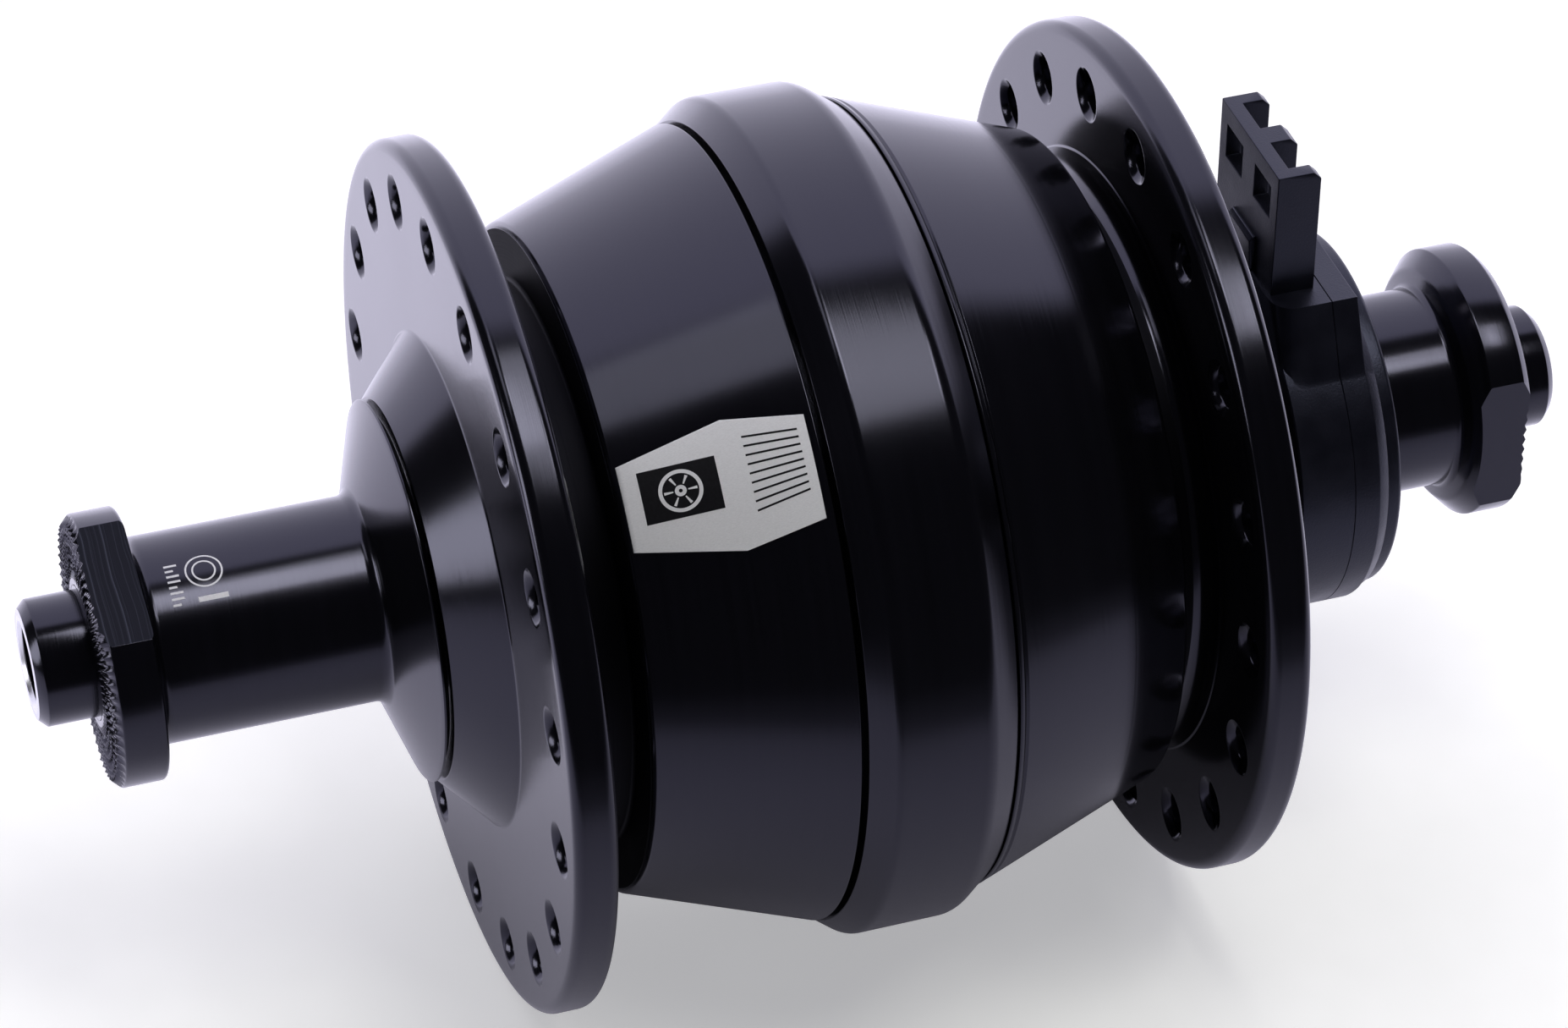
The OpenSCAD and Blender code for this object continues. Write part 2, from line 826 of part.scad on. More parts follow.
module centre_band() {
    band_r = band_d / 2;
    color("#1e1f23") lathe([
        [band_left_edge_r, -band_left, 0.1],
        [band_r, -band_left_corner, 0.5],
        [band_r, band_right_corner, 1.2],
        [band_right_edge_r, band_right, 0],
        [tongue_r + fit, band_right, 0],
        [tongue_r + fit, tongue_end - 0.1, 0],
        [shell_bore_r, tongue_end - 0.1, 0],
        [shell_bore_r, -tongue_end + 0.1, 0],
        [tongue_r + fit, -tongue_end + 0.1, 0],
        [tongue_r + fit, -band_left, 0]
    ]);
}

module o_ring(y) {
    color("#111111") rotate([-90, 0, 0]) rotate_extrude() translate([tongue_r - 0.39, y]) circle(0.39);
}

module left_o_ring() { o_ring(-3); }
module right_o_ring() { o_ring(3); }

module flux_ring() {
    color("gray") ring(magnet_out + fit, flux_out, -flux_half, flux_half);
}

module magnets(phase) {
    color("dimgray") sectors(magnet_in, magnet_out, pole_pitch - magnet_gap, phase, claws,
                             -magnet_half, magnet_half);
}

module north_magnets() { magnets(0); }
module south_magnets() { magnets(pole_pitch); }

// A six-sided foil that lies on the left cone
module badge() {
    slope = (cone_large_r - cone_small_r) / (left_shoulder - left_joint);
    cone_at_left = cone_small_r + slope * (badge_left + left_shoulder);
    lift = fit;
    color("silver") intersection() {
        lathe([
            [cone_at_left - slope + lift, badge_left - 1, 0],
            [cone_at_left - slope + lift + badge_thickness, badge_left - 1, 0],
            [cone_large_r - slope * 0.3 + lift + badge_thickness, -left_joint - 0.3, 0],
            [cone_large_r - slope * 0.3 + lift, -left_joint - 0.3, 0]
        ]);
        around(badge_angle) rotate([90, 0, 90]) linear_extrude(flange_r)
            polygon([
                [badge_left, -badge_left_half],
                [badge_left, badge_left_half],
                [badge_middle, badge_middle_half],
                [badge_right, badge_right_half],
                [badge_right, -badge_right_half],
                [badge_middle, -badge_middle_half]
            ]);
    }
}

axle();
flared_sleeve();
end_sleeve();
left_inner_race();
right_inner_race();
left_spacer();
right_spacer();
bearing_collar();
left_stator_nut();
right_stator_nut();
left_stator_washer();
right_stator_washer();
left_claw_plate();
right_claw_plate();
stator_core();
coil_bobbin();
coil_winding();
lead_wire_a();
lead_wire_b();
connector_base();
connector_cap();
connector_cover();
contact_blade_a();
contact_blade_b();
left_shell();
centre_band();
right_shell();
flux_ring();
north_magnets();
south_magnets();
left_o_ring();
right_o_ring();
left_outer_race();
right_outer_race();
left_bearing_shields();
right_bearing_shields();
left_dust_seal();
right_dust_seal();
badge();
left_balls();
left_ball_cage();
right_balls();
right_ball_cage();
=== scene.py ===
import json
import math
import bmesh
import bpy
from mathutils import Matrix, Vector


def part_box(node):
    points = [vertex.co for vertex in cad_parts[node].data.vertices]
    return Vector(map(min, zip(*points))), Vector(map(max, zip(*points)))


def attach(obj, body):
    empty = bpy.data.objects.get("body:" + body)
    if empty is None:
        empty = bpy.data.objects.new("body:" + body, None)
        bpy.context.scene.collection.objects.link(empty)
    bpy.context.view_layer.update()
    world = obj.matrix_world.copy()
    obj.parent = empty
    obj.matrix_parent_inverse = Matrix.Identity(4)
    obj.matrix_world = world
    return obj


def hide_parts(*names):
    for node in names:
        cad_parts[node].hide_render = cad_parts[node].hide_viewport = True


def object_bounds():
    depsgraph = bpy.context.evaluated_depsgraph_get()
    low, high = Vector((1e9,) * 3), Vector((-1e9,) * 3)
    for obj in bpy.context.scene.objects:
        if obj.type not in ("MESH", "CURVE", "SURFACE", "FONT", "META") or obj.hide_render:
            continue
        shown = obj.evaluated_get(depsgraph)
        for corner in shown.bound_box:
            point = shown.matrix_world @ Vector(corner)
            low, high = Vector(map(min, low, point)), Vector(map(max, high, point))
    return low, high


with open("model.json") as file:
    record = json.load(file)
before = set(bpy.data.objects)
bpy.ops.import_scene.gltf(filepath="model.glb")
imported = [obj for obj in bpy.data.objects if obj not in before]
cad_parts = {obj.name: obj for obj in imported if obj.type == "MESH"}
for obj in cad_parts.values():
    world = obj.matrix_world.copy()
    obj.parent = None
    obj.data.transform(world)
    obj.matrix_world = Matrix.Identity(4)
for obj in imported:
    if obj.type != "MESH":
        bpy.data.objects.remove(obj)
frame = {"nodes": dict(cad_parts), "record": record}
cad_box = [list(corner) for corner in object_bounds()]

# Lengths on the hub are millimetres until a mesh is made, and MM turns them into metres.
MM = 0.001
TURN = 2 * math.pi
# The two bodies that the new pieces ride on
STILL = "still_core"
TURNING = "turning_shell"


def reach(node):
    """A CAD node's largest radius about the axle, and its two ends along it."""
    low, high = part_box(node)
    return high.z / MM, low.y / MM, high.y / MM


# ---- Sizes taken from the frame ----
FLANGE_R, LEFT_BOSS, _ = reach("left_shell")
_, RIGHT_TONGUE, RIGHT_BOSS = reach("right_shell")
BAND_R, BAND_LEFT, BAND_RIGHT = reach("centre_band")
_, LEFT_FACE, LEFT_RACE_STOP = reach("flared_sleeve")
_, RIGHT_SLEEVE_START, RIGHT_FACE = reach("end_sleeve")
_, AXLE_LEFT, AXLE_RIGHT = reach("axle")
_, HOUSING_NECK, PARTING = reach("connector_base")
_, CAP_START, CAP_END = reach("connector_cap")
COVER_R, COVER_START, COVER_END = reach("connector_cover")
TOWER_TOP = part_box("connector_base")[1].z / MM
_, BADGE_LEFT, BADGE_RIGHT = reach("badge")

# ---- Other sizes, as the CAD has them ----
# Names that end in _R are radii. What both ends of the hub share is given for the +Y end.

# Gap left between two parts that fit together
FIT = 0.02

AXLE_R = 5.0
AXLE_END_R = 4.3
AXLE_END_CHAMFER = 0.6
AXLE_LAND_R = AXLE_END_R + 0.25
AXLE_SHOULDER = RIGHT_FACE - 4
BORE_R = 2.7
BORE_CHAMFER = 0.25
# The slot for the leads: its width, its floor's height, its start and its end
LEAD_SLOT = (2.3, 3.8, 13.0, 33.6)

FLANGE_OUT = 25.0
FLANGE_IN = 22.0
SPOKES = 18
SPOKE_CIRCLE_R = 26.0
SPOKE_HOLE_R = 1.4
# Countersink. Its rings are (radius, depth) from the flange's face down to the plain hole.
SINK_R = 1.85
SINK_DEPTH = SINK_R - SPOKE_HOLE_R
SINK_RINGS = ((SINK_R + 0.14, 0), (SINK_R + 0.07, 0), (SINK_R, 0.03),
              (SPOKE_HOLE_R + 0.06, SINK_DEPTH - 0.03), (SPOKE_HOLE_R, SINK_DEPTH + 0.08))
# Radii that bound the ring of each flange face that holds the spoke holes
DRILLED_IN = SPOKE_CIRCLE_R - 2.5
DRILLED_OUT = SPOKE_CIRCLE_R + 2.5
# Angle of each flange's first spoke hole, in degrees
LEFT_PHASE = -5.0
RIGHT_PHASE = 5.0
BOSS_R = 13.1
BOSS_FOOT_R = 17.0
NECK_R = 19.3
NECK_STEP_R = 21.2
NECK_STEP = 0.12
CONE_SMALL_R = 23.0
CONE_LARGE_R = 27.6
LEFT_SHOULDER = 17.9
RIGHT_SHOULDER = 18.95
LEFT_JOINT = 5.15
RIGHT_JOINT = 5.6
BAND_LEFT_R = 27.67
BAND_LEFT_CORNER = -3.05
BAND_RIGHT_CORNER = 3.35
BAND_RIGHT_R = 27.5
TONGUE_R = 25.2
GROOVE_MIDDLE = 3.0
GROOVE_HALF = 0.5
GROOVE_DEPTH = 0.8
TURNED_LINE = 6.1
TURNED_LINE_HALF = 0.17
STATOR_R = 20.0
SHELL_BORE_R = 23.62
MAGNET_OUT = 22.2
FLUX_HALF = 10.0
CAVITY_SLOPE = 14.5
CAVITY_NECK = 18.6
CAVITY_NECK_R = 17.0
SEAT_R = 11.0
SEAL_SEAT_R = 12.0
BEARING_IN = 21.5
BEARING_OUT = 27.5

DISC_R = 9.25
RIGHT_DISC_R = DISC_R + 0.25
DISC_CHAMFER = 0.6
DISC_BACK = RIGHT_FACE - 3.5
# The right disc's back is a cone between these two places
RIGHT_CONE_START = RIGHT_FACE - 4.4
RIGHT_CONE_END = RIGHT_FACE - 3
RIGHT_FLAT_START = RIGHT_FACE - 3.65
# Wrench flats: their distance from the axis, and the angle of the first in degrees
FLATS = 8.0
LEFT_FLAT_ANGLE = 70.0
RIGHT_FLAT_ANGLE = 0.0
SLEEVE_R = 7.0
FLARE_START = 31.16
FLARE_LIP = 29.15
FLARE_FACE = 28.9
FLARE_R = 13.05
INNER_RACE_R = 6.9
# Toothed rings of the clamping faces: radii, steps across, depth, rise at the inner end, count and slant
BITE_IN = 5.0
LEFT_BITE_OUT = DISC_R - DISC_CHAMFER
RIGHT_BITE_OUT = 7.5
BITE_STEPS = 9
BITE_DEPTH = 0.3
BITE_RISE = 0.2
BITE_TEETH = 60
BITE_SLANT = math.radians(24)

HOUSING_R = 13.4
HOUSING_IN = 31.0
HOUSING_NECK_R = 12.0
COLLAR_BORE_R = 7.25
# The pedestal on top of the housing, seen along the axle
PEDESTAL_TOP = 14.5
PEDESTAL_HALF = 7.0
PEDESTAL_FOOT_X = 9.15
PEDESTAL_CORNER = 1.5
# Rounding of the housing's edges
EDGE = 0.16
CAP_CHAMFER = 0.8
TOWER_FRONT = HOUSING_IN + 0.24
TOWER_PLATE = 1.1
TOWER_BACK = TOWER_FRONT + 3.1
TOWER_HALF = 5.1
SIDE_RIB = 1.05
MID_RIB = 1.85
CHANNEL = (2 * TOWER_HALF - 2 * SIDE_RIB - MID_RIB) / 2
CHANNEL_X = (MID_RIB + CHANNEL) / 2
WINDOW_MARGIN = 0.15
WINDOW_LOW = TOWER_TOP - 3.95
WINDOW_HIGH = TOWER_TOP - 1.4
TOWER_CHAMFER = 0.55
PAD_HALF = 1.9
PAD_TOP = PEDESTAL_TOP + 2.7
BLADE_W = 2.2
BLADE_LOW = 12.2
# Lead wires' height where they leave the axle and where they turn up, and how far along they do
LEAD_LOW = 4.4
LEAD_TURN = 7.6
LEAD_RISE = PARTING - 1.9

BADGE_DIRECTION = math.radians(45)
BADGE_MIDDLE = -10.7
# The badge's half width at its left end, at its middle line, where it is widest, and at its right end
BADGE_HALVES = (2.77, 4.24, 3.37)
BADGE_THICK = 0.15
BADGE_TOP = FIT + BADGE_THICK
# Thickness of a printed layer
INK = 0.012
FAN_LINES = 9
WHEEL_SPOKES = 6
SLEEVE_TICKS = 8

# ---- Mesh detail ----

# Slices to a turn, a whole number of them to each spoke hole
SLICES = 16 * SPOKES
# Steps along each side of a spoke hole's sector
SIDE_STEPS = 8
# Steps round the housing, along its pedestal's three sides, and round the pedestal's upright corners
HOUSING_STEPS = 150
PEDESTAL_STEPS = (6, 24, 6)
CORNER_STEPS = 8
# Sharpest turn between two faces that still shades smooth
SMOOTH_ANGLE = math.radians(32)
# Points nearer than this are one point after a bevel or boolean
WELD = 0.0005
# Two sizes that differ by less than this are the same size
SAME = 1e-6

# ---- Colours and studio ----

# Tint of what the black anodised metal mirrors
ANODISED_TINT = (0.78, 0.78, 1.0)
STUDIO_TINT = (0.965, 0.935, 1.15)
FLOOR_R = 0.46
FLOOR_GLOW = 0.42
# Painted glow that the hub mirrors of the floor: (x in metres, brightness)
FLOOR_MIRRORED = ((-0.2, 1.5), (0.0, 1.5), (0.02, 0.9), (0.05, 0.72), (0.08, 0.5), (0.1, 0.14), (0.16, 0.03))
# The range of x that its colour ramp covers, and the brightness that a ramp colour of 1 stands for
FLOOR_SPREAD = (-0.2, 0.3)
FLOOR_GLOW_TOP = 2.0


# ---- Nodes ----

class Nodes:
    """Short way to lay out and join the nodes of a material or world."""
    def __init__(self, owner, shader="Principled BSDF"):
        owner.use_nodes = True
        self.owner = owner
        self.tree = owner.node_tree
        self.shader = self.tree.nodes[shader]

    def add(self, kind, **settings):
        node = self.tree.nodes.new(kind)
        for key, value in settings.items():
            setattr(node, key, value)
        return node

    def set(self, node, **values):
        """Sets sockets by name. An underscore stands for a space."""
        for key, value in values.items():
            node.inputs[key.replace("_", " ")].default_value = value

    def join(self, source, target):
        self.tree.links.new(source, target)

    def math(self, operation, a, b=None):
        node = self.add("ShaderNodeMath", operation=operation)
        for socket, value in zip(node.inputs, (a, b)):
            if value is None:
                continue
            if isinstance(value, (int, float)):
                socket.default_value = value
            else:
                self.join(value, socket)
        return node.outputs[0]

    def position(self):
        return self.add("ShaderNodeTexCoord").outputs["Object"]

    def noise(self, vector=None, w=None, scale=1.0, detail=3.0, rough=0.5):
        """Noise over a point, or over the single number w."""
        node = self.add("ShaderNodeTexNoise")
        if w is not None:
            node.noise_dimensions = "1D"
            self.join(w, node.inputs["W"])
        else:
            self.join(vector, node.inputs["Vector"])
        self.set(node, Scale=scale, Detail=detail, Roughness=rough)
        return node.outputs[0]

    def split(self, vector):
        node = self.add("ShaderNodeSeparateXYZ")
        self.join(vector, node.inputs[0])
        return node.outputs

    def ramp(self, source, low, high, start=0.0, end=1.0, **settings):
        """Maps source from start..end to low..high, numbers or colours."""
        if isinstance(low, (int, float)):
            node = self.add("ShaderNodeMapRange", **settings)
            for key, value in zip(("From Min", "From Max", "To Min", "To Max"), (start, end, low, high)):
                node.inputs[key].default_value = value
            self.join(source, node.inputs["Value"])
            return node.outputs["Result"]
        node = self.add("ShaderNodeValToRGB")
        stops = node.color_ramp.elements
        stops[0].position, stops[0].color = start, (*low, 1)
        stops[1].position, stops[1].color = end, (*high, 1)
        self.join(source, node.inputs["Fac"])
        return node.outputs["Color"]

    def bump(self, height, distance, under=None):
        """Bumps distance metres high, on top of the normal under."""
        node = self.add("ShaderNodeBump")
        self.set(node, Strength=1.0, Distance=distance)
        self.join(height, node.inputs["Height"])
        if under is not None:
            self.join(under, node.inputs["Normal"])
        return node.outputs["Normal"]

    def along_profile(self):
        """A number that grows along any turned surface of the hub, so a line of equal value runs round it."""
        x, y, z = self.split(self.position())
        squares = self.math("ADD", self.math("MULTIPLY", x, x), self.math("MULTIPLY", z, z))
        radius = self.math("SQRT", squares)
        return self.math("ADD", y, self.math("MULTIPLY", radius, 1.618))

    def blend(self, a, b, share):
        """The sum of share of a and the rest of b."""
        return self.math("ADD", self.math("MULTIPLY", a, share), self.math("MULTIPLY", b, 1 - share))

    def finish(self, colour, roughness, normal):
        """Joins the three outputs to the shader and returns the material."""
        self.join(colour, self.shader.inputs["Base Color"])
        self.join(roughness, self.shader.inputs["Roughness"])
        self.join(normal, self.shader.inputs["Normal"])
        return self.owner


def new_finish(name, specular=0.5, tint=(1, 1, 1), metallic=0.0):
    """The nodes of a new material, with what is the same all over its surface set on the shader."""
    n = Nodes(bpy.data.materials.new(name))
    n.set(n.shader, IOR=1.5, Metallic=metallic, Specular_IOR_Level=specular, Specular_Tint=(*tint, 1))
    return n


def turned_finish(name, dark, light, roughness, lines, depth, metallic=0.0, pitch=0.12, specular=0.5,
                  tint=(1, 1, 1)):
    """Metal turned on a lathe: fine lines round the axle, a slow drift in polish, and its own colour."""
    n = new_finish(name, specular, tint, metallic)
    along = n.along_profile()
    fine = n.noise(w=along, scale=1 / (pitch * MM), detail=4, rough=0.6)
    coarse = n.noise(w=along, scale=1 / (7 * pitch * MM), detail=2)
    cloud = n.noise(vector=n.position(), scale=1 / (9 * MM), detail=4)
    return n.finish(
        n.ramp(n.blend(coarse, cloud, 0.6), dark, light, 0.3, 0.7),
        n.ramp(n.blend(fine, cloud, 0.5), roughness * (1 - lines), roughness * (1 + lines), 0.25, 0.75),
        n.bump(fine, depth * MM, under=n.bump(coarse, depth * 0.6 * MM)))


def groove_painted_shade():
    """The shell's black made darker and less glossy: painted shade for the neck and shoulder, where the
    flange shades them.
    """
    return turned_finish("groove_painted_shade", (0.0012, 0.0012, 0.0016), (0.002, 0.002, 0.0028), 0.5, 0.2, 0.004,
                         specular=0.12, tint=ANODISED_TINT)


def milled_flat():
    """The disc's wrench flats: the cutter's long streaks, seen through the black."""
    n = new_finish("milled_flat", specular=0.2, tint=(0.7, 0.74, 1.0))
    sway = n.noise(vector=n.position(), scale=1 / (4 * MM), detail=1)
    across = n.math("ADD", n.split(n.position())["Y"], n.math("MULTIPLY", sway, 0.5 * MM))
    streak = n.noise(w=across, scale=1 / (0.2 * MM), detail=4, rough=0.75)
    wide = n.noise(w=across, scale=1 / (1.1 * MM), detail=1)
    mark = n.blend(streak, wide, 0.7)
    return n.finish(n.ramp(mark, (0.0012, 0.0012, 0.002), (0.14, 0.15, 0.2), 0.54, 0.86),
                    n.ramp(streak, 0.3, 0.5), n.bump(streak, 0.02 * MM))


def moulded_plastic(name, dark, light, roughness, grain, depth, tint=(1, 1, 1)):
    """Plastic from a spark-eroded mould: even grain and a faint cloudiness."""
    n = new_finish(name, tint=tint)
    fine = n.noise(vector=n.position(), scale=1 / (grain * MM), detail=3, rough=0.6)
    cloud = n.noise(vector=n.position(), scale=1 / (2.5 * MM), detail=5)
    return n.finish(n.ramp(cloud, dark, light, 0.35, 0.65),
                    n.ramp(cloud, roughness * 0.85, roughness * 1.15, 0.3, 0.7),
                    n.bump(fine, depth * MM, under=n.bump(cloud, depth * MM)))


def badge_foil():
    """Silver foil with a satin grain that runs with the axle."""
    n = new_finish("badge_foil", metallic=0.2)
    stretch = n.add("ShaderNodeMapping")
    n.set(stretch, Scale=(1.0, 0.12, 1.0))
    n.join(n.position(), stretch.inputs["Vector"])
    grain = n.noise(vector=stretch.outputs[0], scale=1 / (0.06 * MM), detail=4, rough=0.7)
    return n.finish(n.ramp(grain, (0.84, 0.845, 0.83), (0.96, 0.965, 0.95), 0.3, 0.7),
                    n.ramp(grain, 0.42, 0.58), n.bump(grain, 0.004 * MM))


def printed_ink(name, dark, light):
    n = new_finish(name, specular=0.2)
    mottle = n.noise(vector=n.position(), scale=1 / (0.2 * MM), detail=4)
    return n.finish(n.ramp(mottle, dark, light, 0.3, 0.7), n.ramp(mottle, 0.45, 0.6),
                    n.bump(mottle, 0.003 * MM))


def copper_winding():
    """Layers of enamelled wire: one ridge to each turn."""
    n = new_finish("enamelled_copper", metallic=0.9)
    wave = n.add("ShaderNodeTexWave", bands_direction="Y")
    n.join(n.position(), wave.inputs["Vector"])
    n.set(wave, Scale=0.31 / MM, Distortion=0.4, Detail=1)
    ridge = wave.outputs["Fac"]
    return n.finish(n.ramp(ridge, (0.16, 0.04, 0.012), (0.78, 0.30, 0.12), 0.1, 0.8),
                    n.ramp(ridge, 0.4, 0.22), n.bump(ridge, 0.1 * MM))


# Dark colour, light colour, roughness, its share that varies, depth of the lines in mm, metallic, pitch in mm
METALS = {
    "bearing_steel": ((0.52, 0.53, 0.56), (0.66, 0.67, 0.69), 0.12, 0.3, 0.0006, 1.0, 0.12),
    "soft_iron": ((0.16, 0.165, 0.17), (0.26, 0.265, 0.275), 0.42, 0.3, 0.006, 1.0, 0.3),
    "magnet": ((0.10, 0.10, 0.11), (0.2, 0.2, 0.215), 0.34, 0.25, 0.003, 1.0, 0.4),
    "zinc_steel": ((0.42, 0.44, 0.42), (0.62, 0.63, 0.57), 0.3, 0.3, 0.003, 1.0, 0.2),
    "plain_aluminium": ((0.55, 0.55, 0.57), (0.72, 0.72, 0.74), 0.28, 0.3, 0.004, 1.0, 0.12),
    "contact_metal": ((0.55, 0.53, 0.47), (0.72, 0.70, 0.64), 0.3, 0.3, 0.002, 1.0, 0.1),
    "shield_steel": ((0.03, 0.03, 0.033), (0.06, 0.06, 0.065), 0.4, 0.3, 0.003, 0.6, 0.12),
    "cage_brass": ((0.42, 0.27, 0.09), (0.60, 0.42, 0.16), 0.3, 0.3, 0.003, 1.0, 0.15),
}
# Dark colour, light colour, roughness, grain in mm, its depth in mm, and the tint of its reflections
PLASTICS = {
    "connector_plastic": ((0.0035, 0.0036, 0.006), (0.0068, 0.007, 0.0108), 0.34, 0.16, 0.012,
                          (0.68, 0.72, 1.0)),
    "bobbin_plastic": ((0.60, 0.54, 0.40), (0.68, 0.62, 0.48), 0.45, 0.2, 0.008),
    "red_insulation": ((0.30, 0.012, 0.012), (0.38, 0.02, 0.018), 0.4, 0.1, 0.004),
    "black_insulation": ((0.012, 0.012, 0.013), (0.02, 0.02, 0.022), 0.4, 0.1, 0.004),
    "seal_rubber": ((0.006, 0.006, 0.006), (0.012, 0.012, 0.012), 0.62, 0.1, 0.01),
}


def slot_materials():
    """One finish for each of the record's material slots."""
    black = turned_finish("black_anodised", (0.0014, 0.0014, 0.0019), (0.0028, 0.0028, 0.0038), 0.15, 0.25,
                          0.0022, specular=0.6, tint=ANODISED_TINT)
    slots = {"black_anodised": black, "enamelled_copper": copper_winding(), "badge_foil": badge_foil()}
    slots.update({name: turned_finish(name, *values) for name, values in METALS.items()})
    slots.update({name: moulded_plastic(name, *values) for name, values in PLASTICS.items()})
    return slots


# ---- Mesh building ----

def piece(name, mesh, body, node=None, materials=()):
    """Puts a finished mesh in the scene as a piece of the object."""
    thing = bpy.data.objects.new(name, mesh)
    bpy.context.scene.collection.objects.link(thing)
    for material in materials:
        mesh.materials.append(material)
    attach(thing, body)
    if node:
        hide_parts(node)
    return thing


def even_normals(thing):
    """Lets each large face keep its own normal, so a narrow rounded edge carries all of the turn."""
    modifier = thing.modifiers.new("even_normals", "WEIGHTED_NORMAL")
    modifier.keep_sharp = True


def finish_mesh(bm, name):
    """Turns a bmesh in millimetres into a smooth shaded mesh in metres whose faces look outwards."""
    bmesh.ops.recalc_face_normals(bm, faces=bm.faces)
    bmesh.ops.scale(bm, vec=(MM, MM, MM), verts=bm.verts)
    mesh = bpy.data.meshes.new(name)
    bm.to_mesh(mesh)
    bm.free()
    mesh.shade_smooth()
    mesh.set_sharp_from_angle(angle=SMOOTH_ANGLE)
    return mesh


def corner_arc(a, p, b, radius):
    """The arc that rounds corner p between its neighbours a and b."""
    u, v = (a - p).normalized(), (b - p).normalized()
    half = math.acos(max(-1, min(1, u.dot(v)))) / 2
    centre = p + (u + v).normalized() * radius / math.sin(half)
    start = p + u * radius / math.tan(half) - centre
    end = p + v * radius / math.tan(half) - centre
    first = math.atan2(start.y, start.x)
    sweep = (math.atan2(end.y, end.x) - first + 3 * math.pi) % TURN - math.pi
    steps = max(3, math.ceil(abs(sweep) / math.radians(9 if radius > 0.3 else 18)))
    angles = [first + sweep * i / steps for i in range(steps + 1)]
    return [centre + radius * Vector((math.cos(t), math.sin(t))) for t in angles]


def rounded(profile):
    """Points (radius, y) of a profile given as (radius, y, corner radius)."""
    points = [Vector(p[:2]) for p in profile]
    result = []
    for i, p in enumerate(profile):
        if p[2]:
            result += corner_arc(points[i - 1], points[i], points[(i + 1) % len(profile)], p[2])
        else:
            result.append(points[i])
    return result


def mirrored(profile):
    return [(r, -y, c) for r, y, c in profile]


def on_circle(radius, angle, y):
    return radius * math.cos(angle), y, radius * math.sin(angle)


def bridge(bm, a, b):
    """Quads between two closed rings of vertices."""
    for i in range(len(a)):
        j = (i + 1) % len(a)
        bm.faces.new((a[i], a[j], b[j], b[i]))


def drilled_band(bm, faces, phase):
    """Fills the drilled ring of both flange faces, with a countersunk hole through each sector.

    faces holds, for each side of the flange, its y and its rings of vertices at the drilled ring's inner
    and outer radius."""
    per = SLICES // SPOKES
    sector = TURN / SPOKES
    middle_y = sum(y for y, _, _ in faces) / len(faces)
    radii = [DRILLED_IN + (DRILLED_OUT - DRILLED_IN) * t / SIDE_STEPS for t in range(1, SIDE_STEPS)]
    sides = []
    for y, _, _ in faces:
        angles = [phase + (s - 0.5) * sector for s in range(SPOKES)]
        sides.append([[bm.verts.new(on_circle(radius, angle, y)) for radius in radii] for angle in angles])
    for s in range(SPOKES):
        following = (s + 1) % SPOKES
        centre = Vector(on_circle(SPOKE_CIRCLE_R, phase + s * sector, 0))
        arc = [(s * per + k) % SLICES for k in range(per + 1)]
        rims = []
        for (y, inner, outer), columns in zip(faces, sides):
            loop = [inner[k] for k in arc] + columns[following]
            loop += [outer[k] for k in reversed(arc)] + list(reversed(columns[s]))
            inward = math.copysign(1, middle_y - y)
            stack = [loop]
            for radius, depth in SINK_RINGS:
                ring = []
                for vertex in loop:
                    away = Vector((vertex.co.x - centre.x, 0, vertex.co.z - centre.z)).normalized() * radius
                    ring.append(bm.verts.new((centre.x + away.x, y + inward * depth, centre.z + away.z)))
                stack.append(ring)
            for a, b in zip(stack, stack[1:]):
                bridge(bm, a, b)
            rims.append(stack[-1])
        bridge(bm, *rims)


def turned(profile, phase=0.0, drilled=False, shape=None, slices=SLICES):
    """A bmesh turned about the axle. drilled makes the flange's holes, the first at phase degrees.
    shape may move each point: shape(radius, y, angle) gives its new y."""
    bm = bmesh.new()
    points = rounded(profile)
    start = math.radians(phase) - (TURN / SPOKES / 2 if drilled else 0)
    rings = []
    for r, y in points:
        ring = []
        for k in range(slices):
            angle = start + TURN * k / slices
            ring.append(bm.verts.new(on_circle(r, angle, shape(r, y, angle) if shape else y)))
        rings.append(ring)
    faces = {}
    for i in range(len(points)):
        j = (i + 1) % len(points)
        radii = sorted((points[i].x, points[j].x))
        if drilled and abs(radii[0] - DRILLED_IN) < SAME and abs(radii[1] - DRILLED_OUT) < SAME:
            inner, outer = (i, j) if points[i].x < points[j].x else (j, i)
            faces[points[i].y] = (points[i].y, rings[inner], rings[outer])
        else:
            bridge(bm, rings[i], rings[j])
    if drilled:
        drilled_band(bm, list(faces.values()), math.radians(phase))
    return bm


def block(low, high):
    """A bmesh box between two corners."""
    bm = bmesh.new()
    bmesh.ops.create_cube(bm, size=1)
    size = Vector(high) - Vector(low)
    bmesh.ops.scale(bm, vec=size, verts=bm.verts)
    bmesh.ops.translate(bm, vec=(Vector(high) + Vector(low)) / 2, verts=bm.verts)
    return bm


def prism(outline, axis, start, end):
    """A bmesh prism: a flat outline of (y, z) or (x, y), carried along X or Z from start to end."""
    bm = bmesh.new()
    low, high = ([bm.verts.new((along, *p) if axis == "X" else (*p, along)) for p in outline]
                 for along in (start, end))
    bridge(bm, low, high)
    bm.faces.new(low)
    bm.faces.new(list(reversed(high)))
    return bm


def weld(bm):
    """Joins the points that a bevel or boolean leaves in one place."""
    bmesh.ops.remove_doubles(bm, verts=bm.verts, dist=WELD)
    bmesh.ops.dissolve_degenerate(bm, edges=bm.edges, dist=WELD)
    return bm


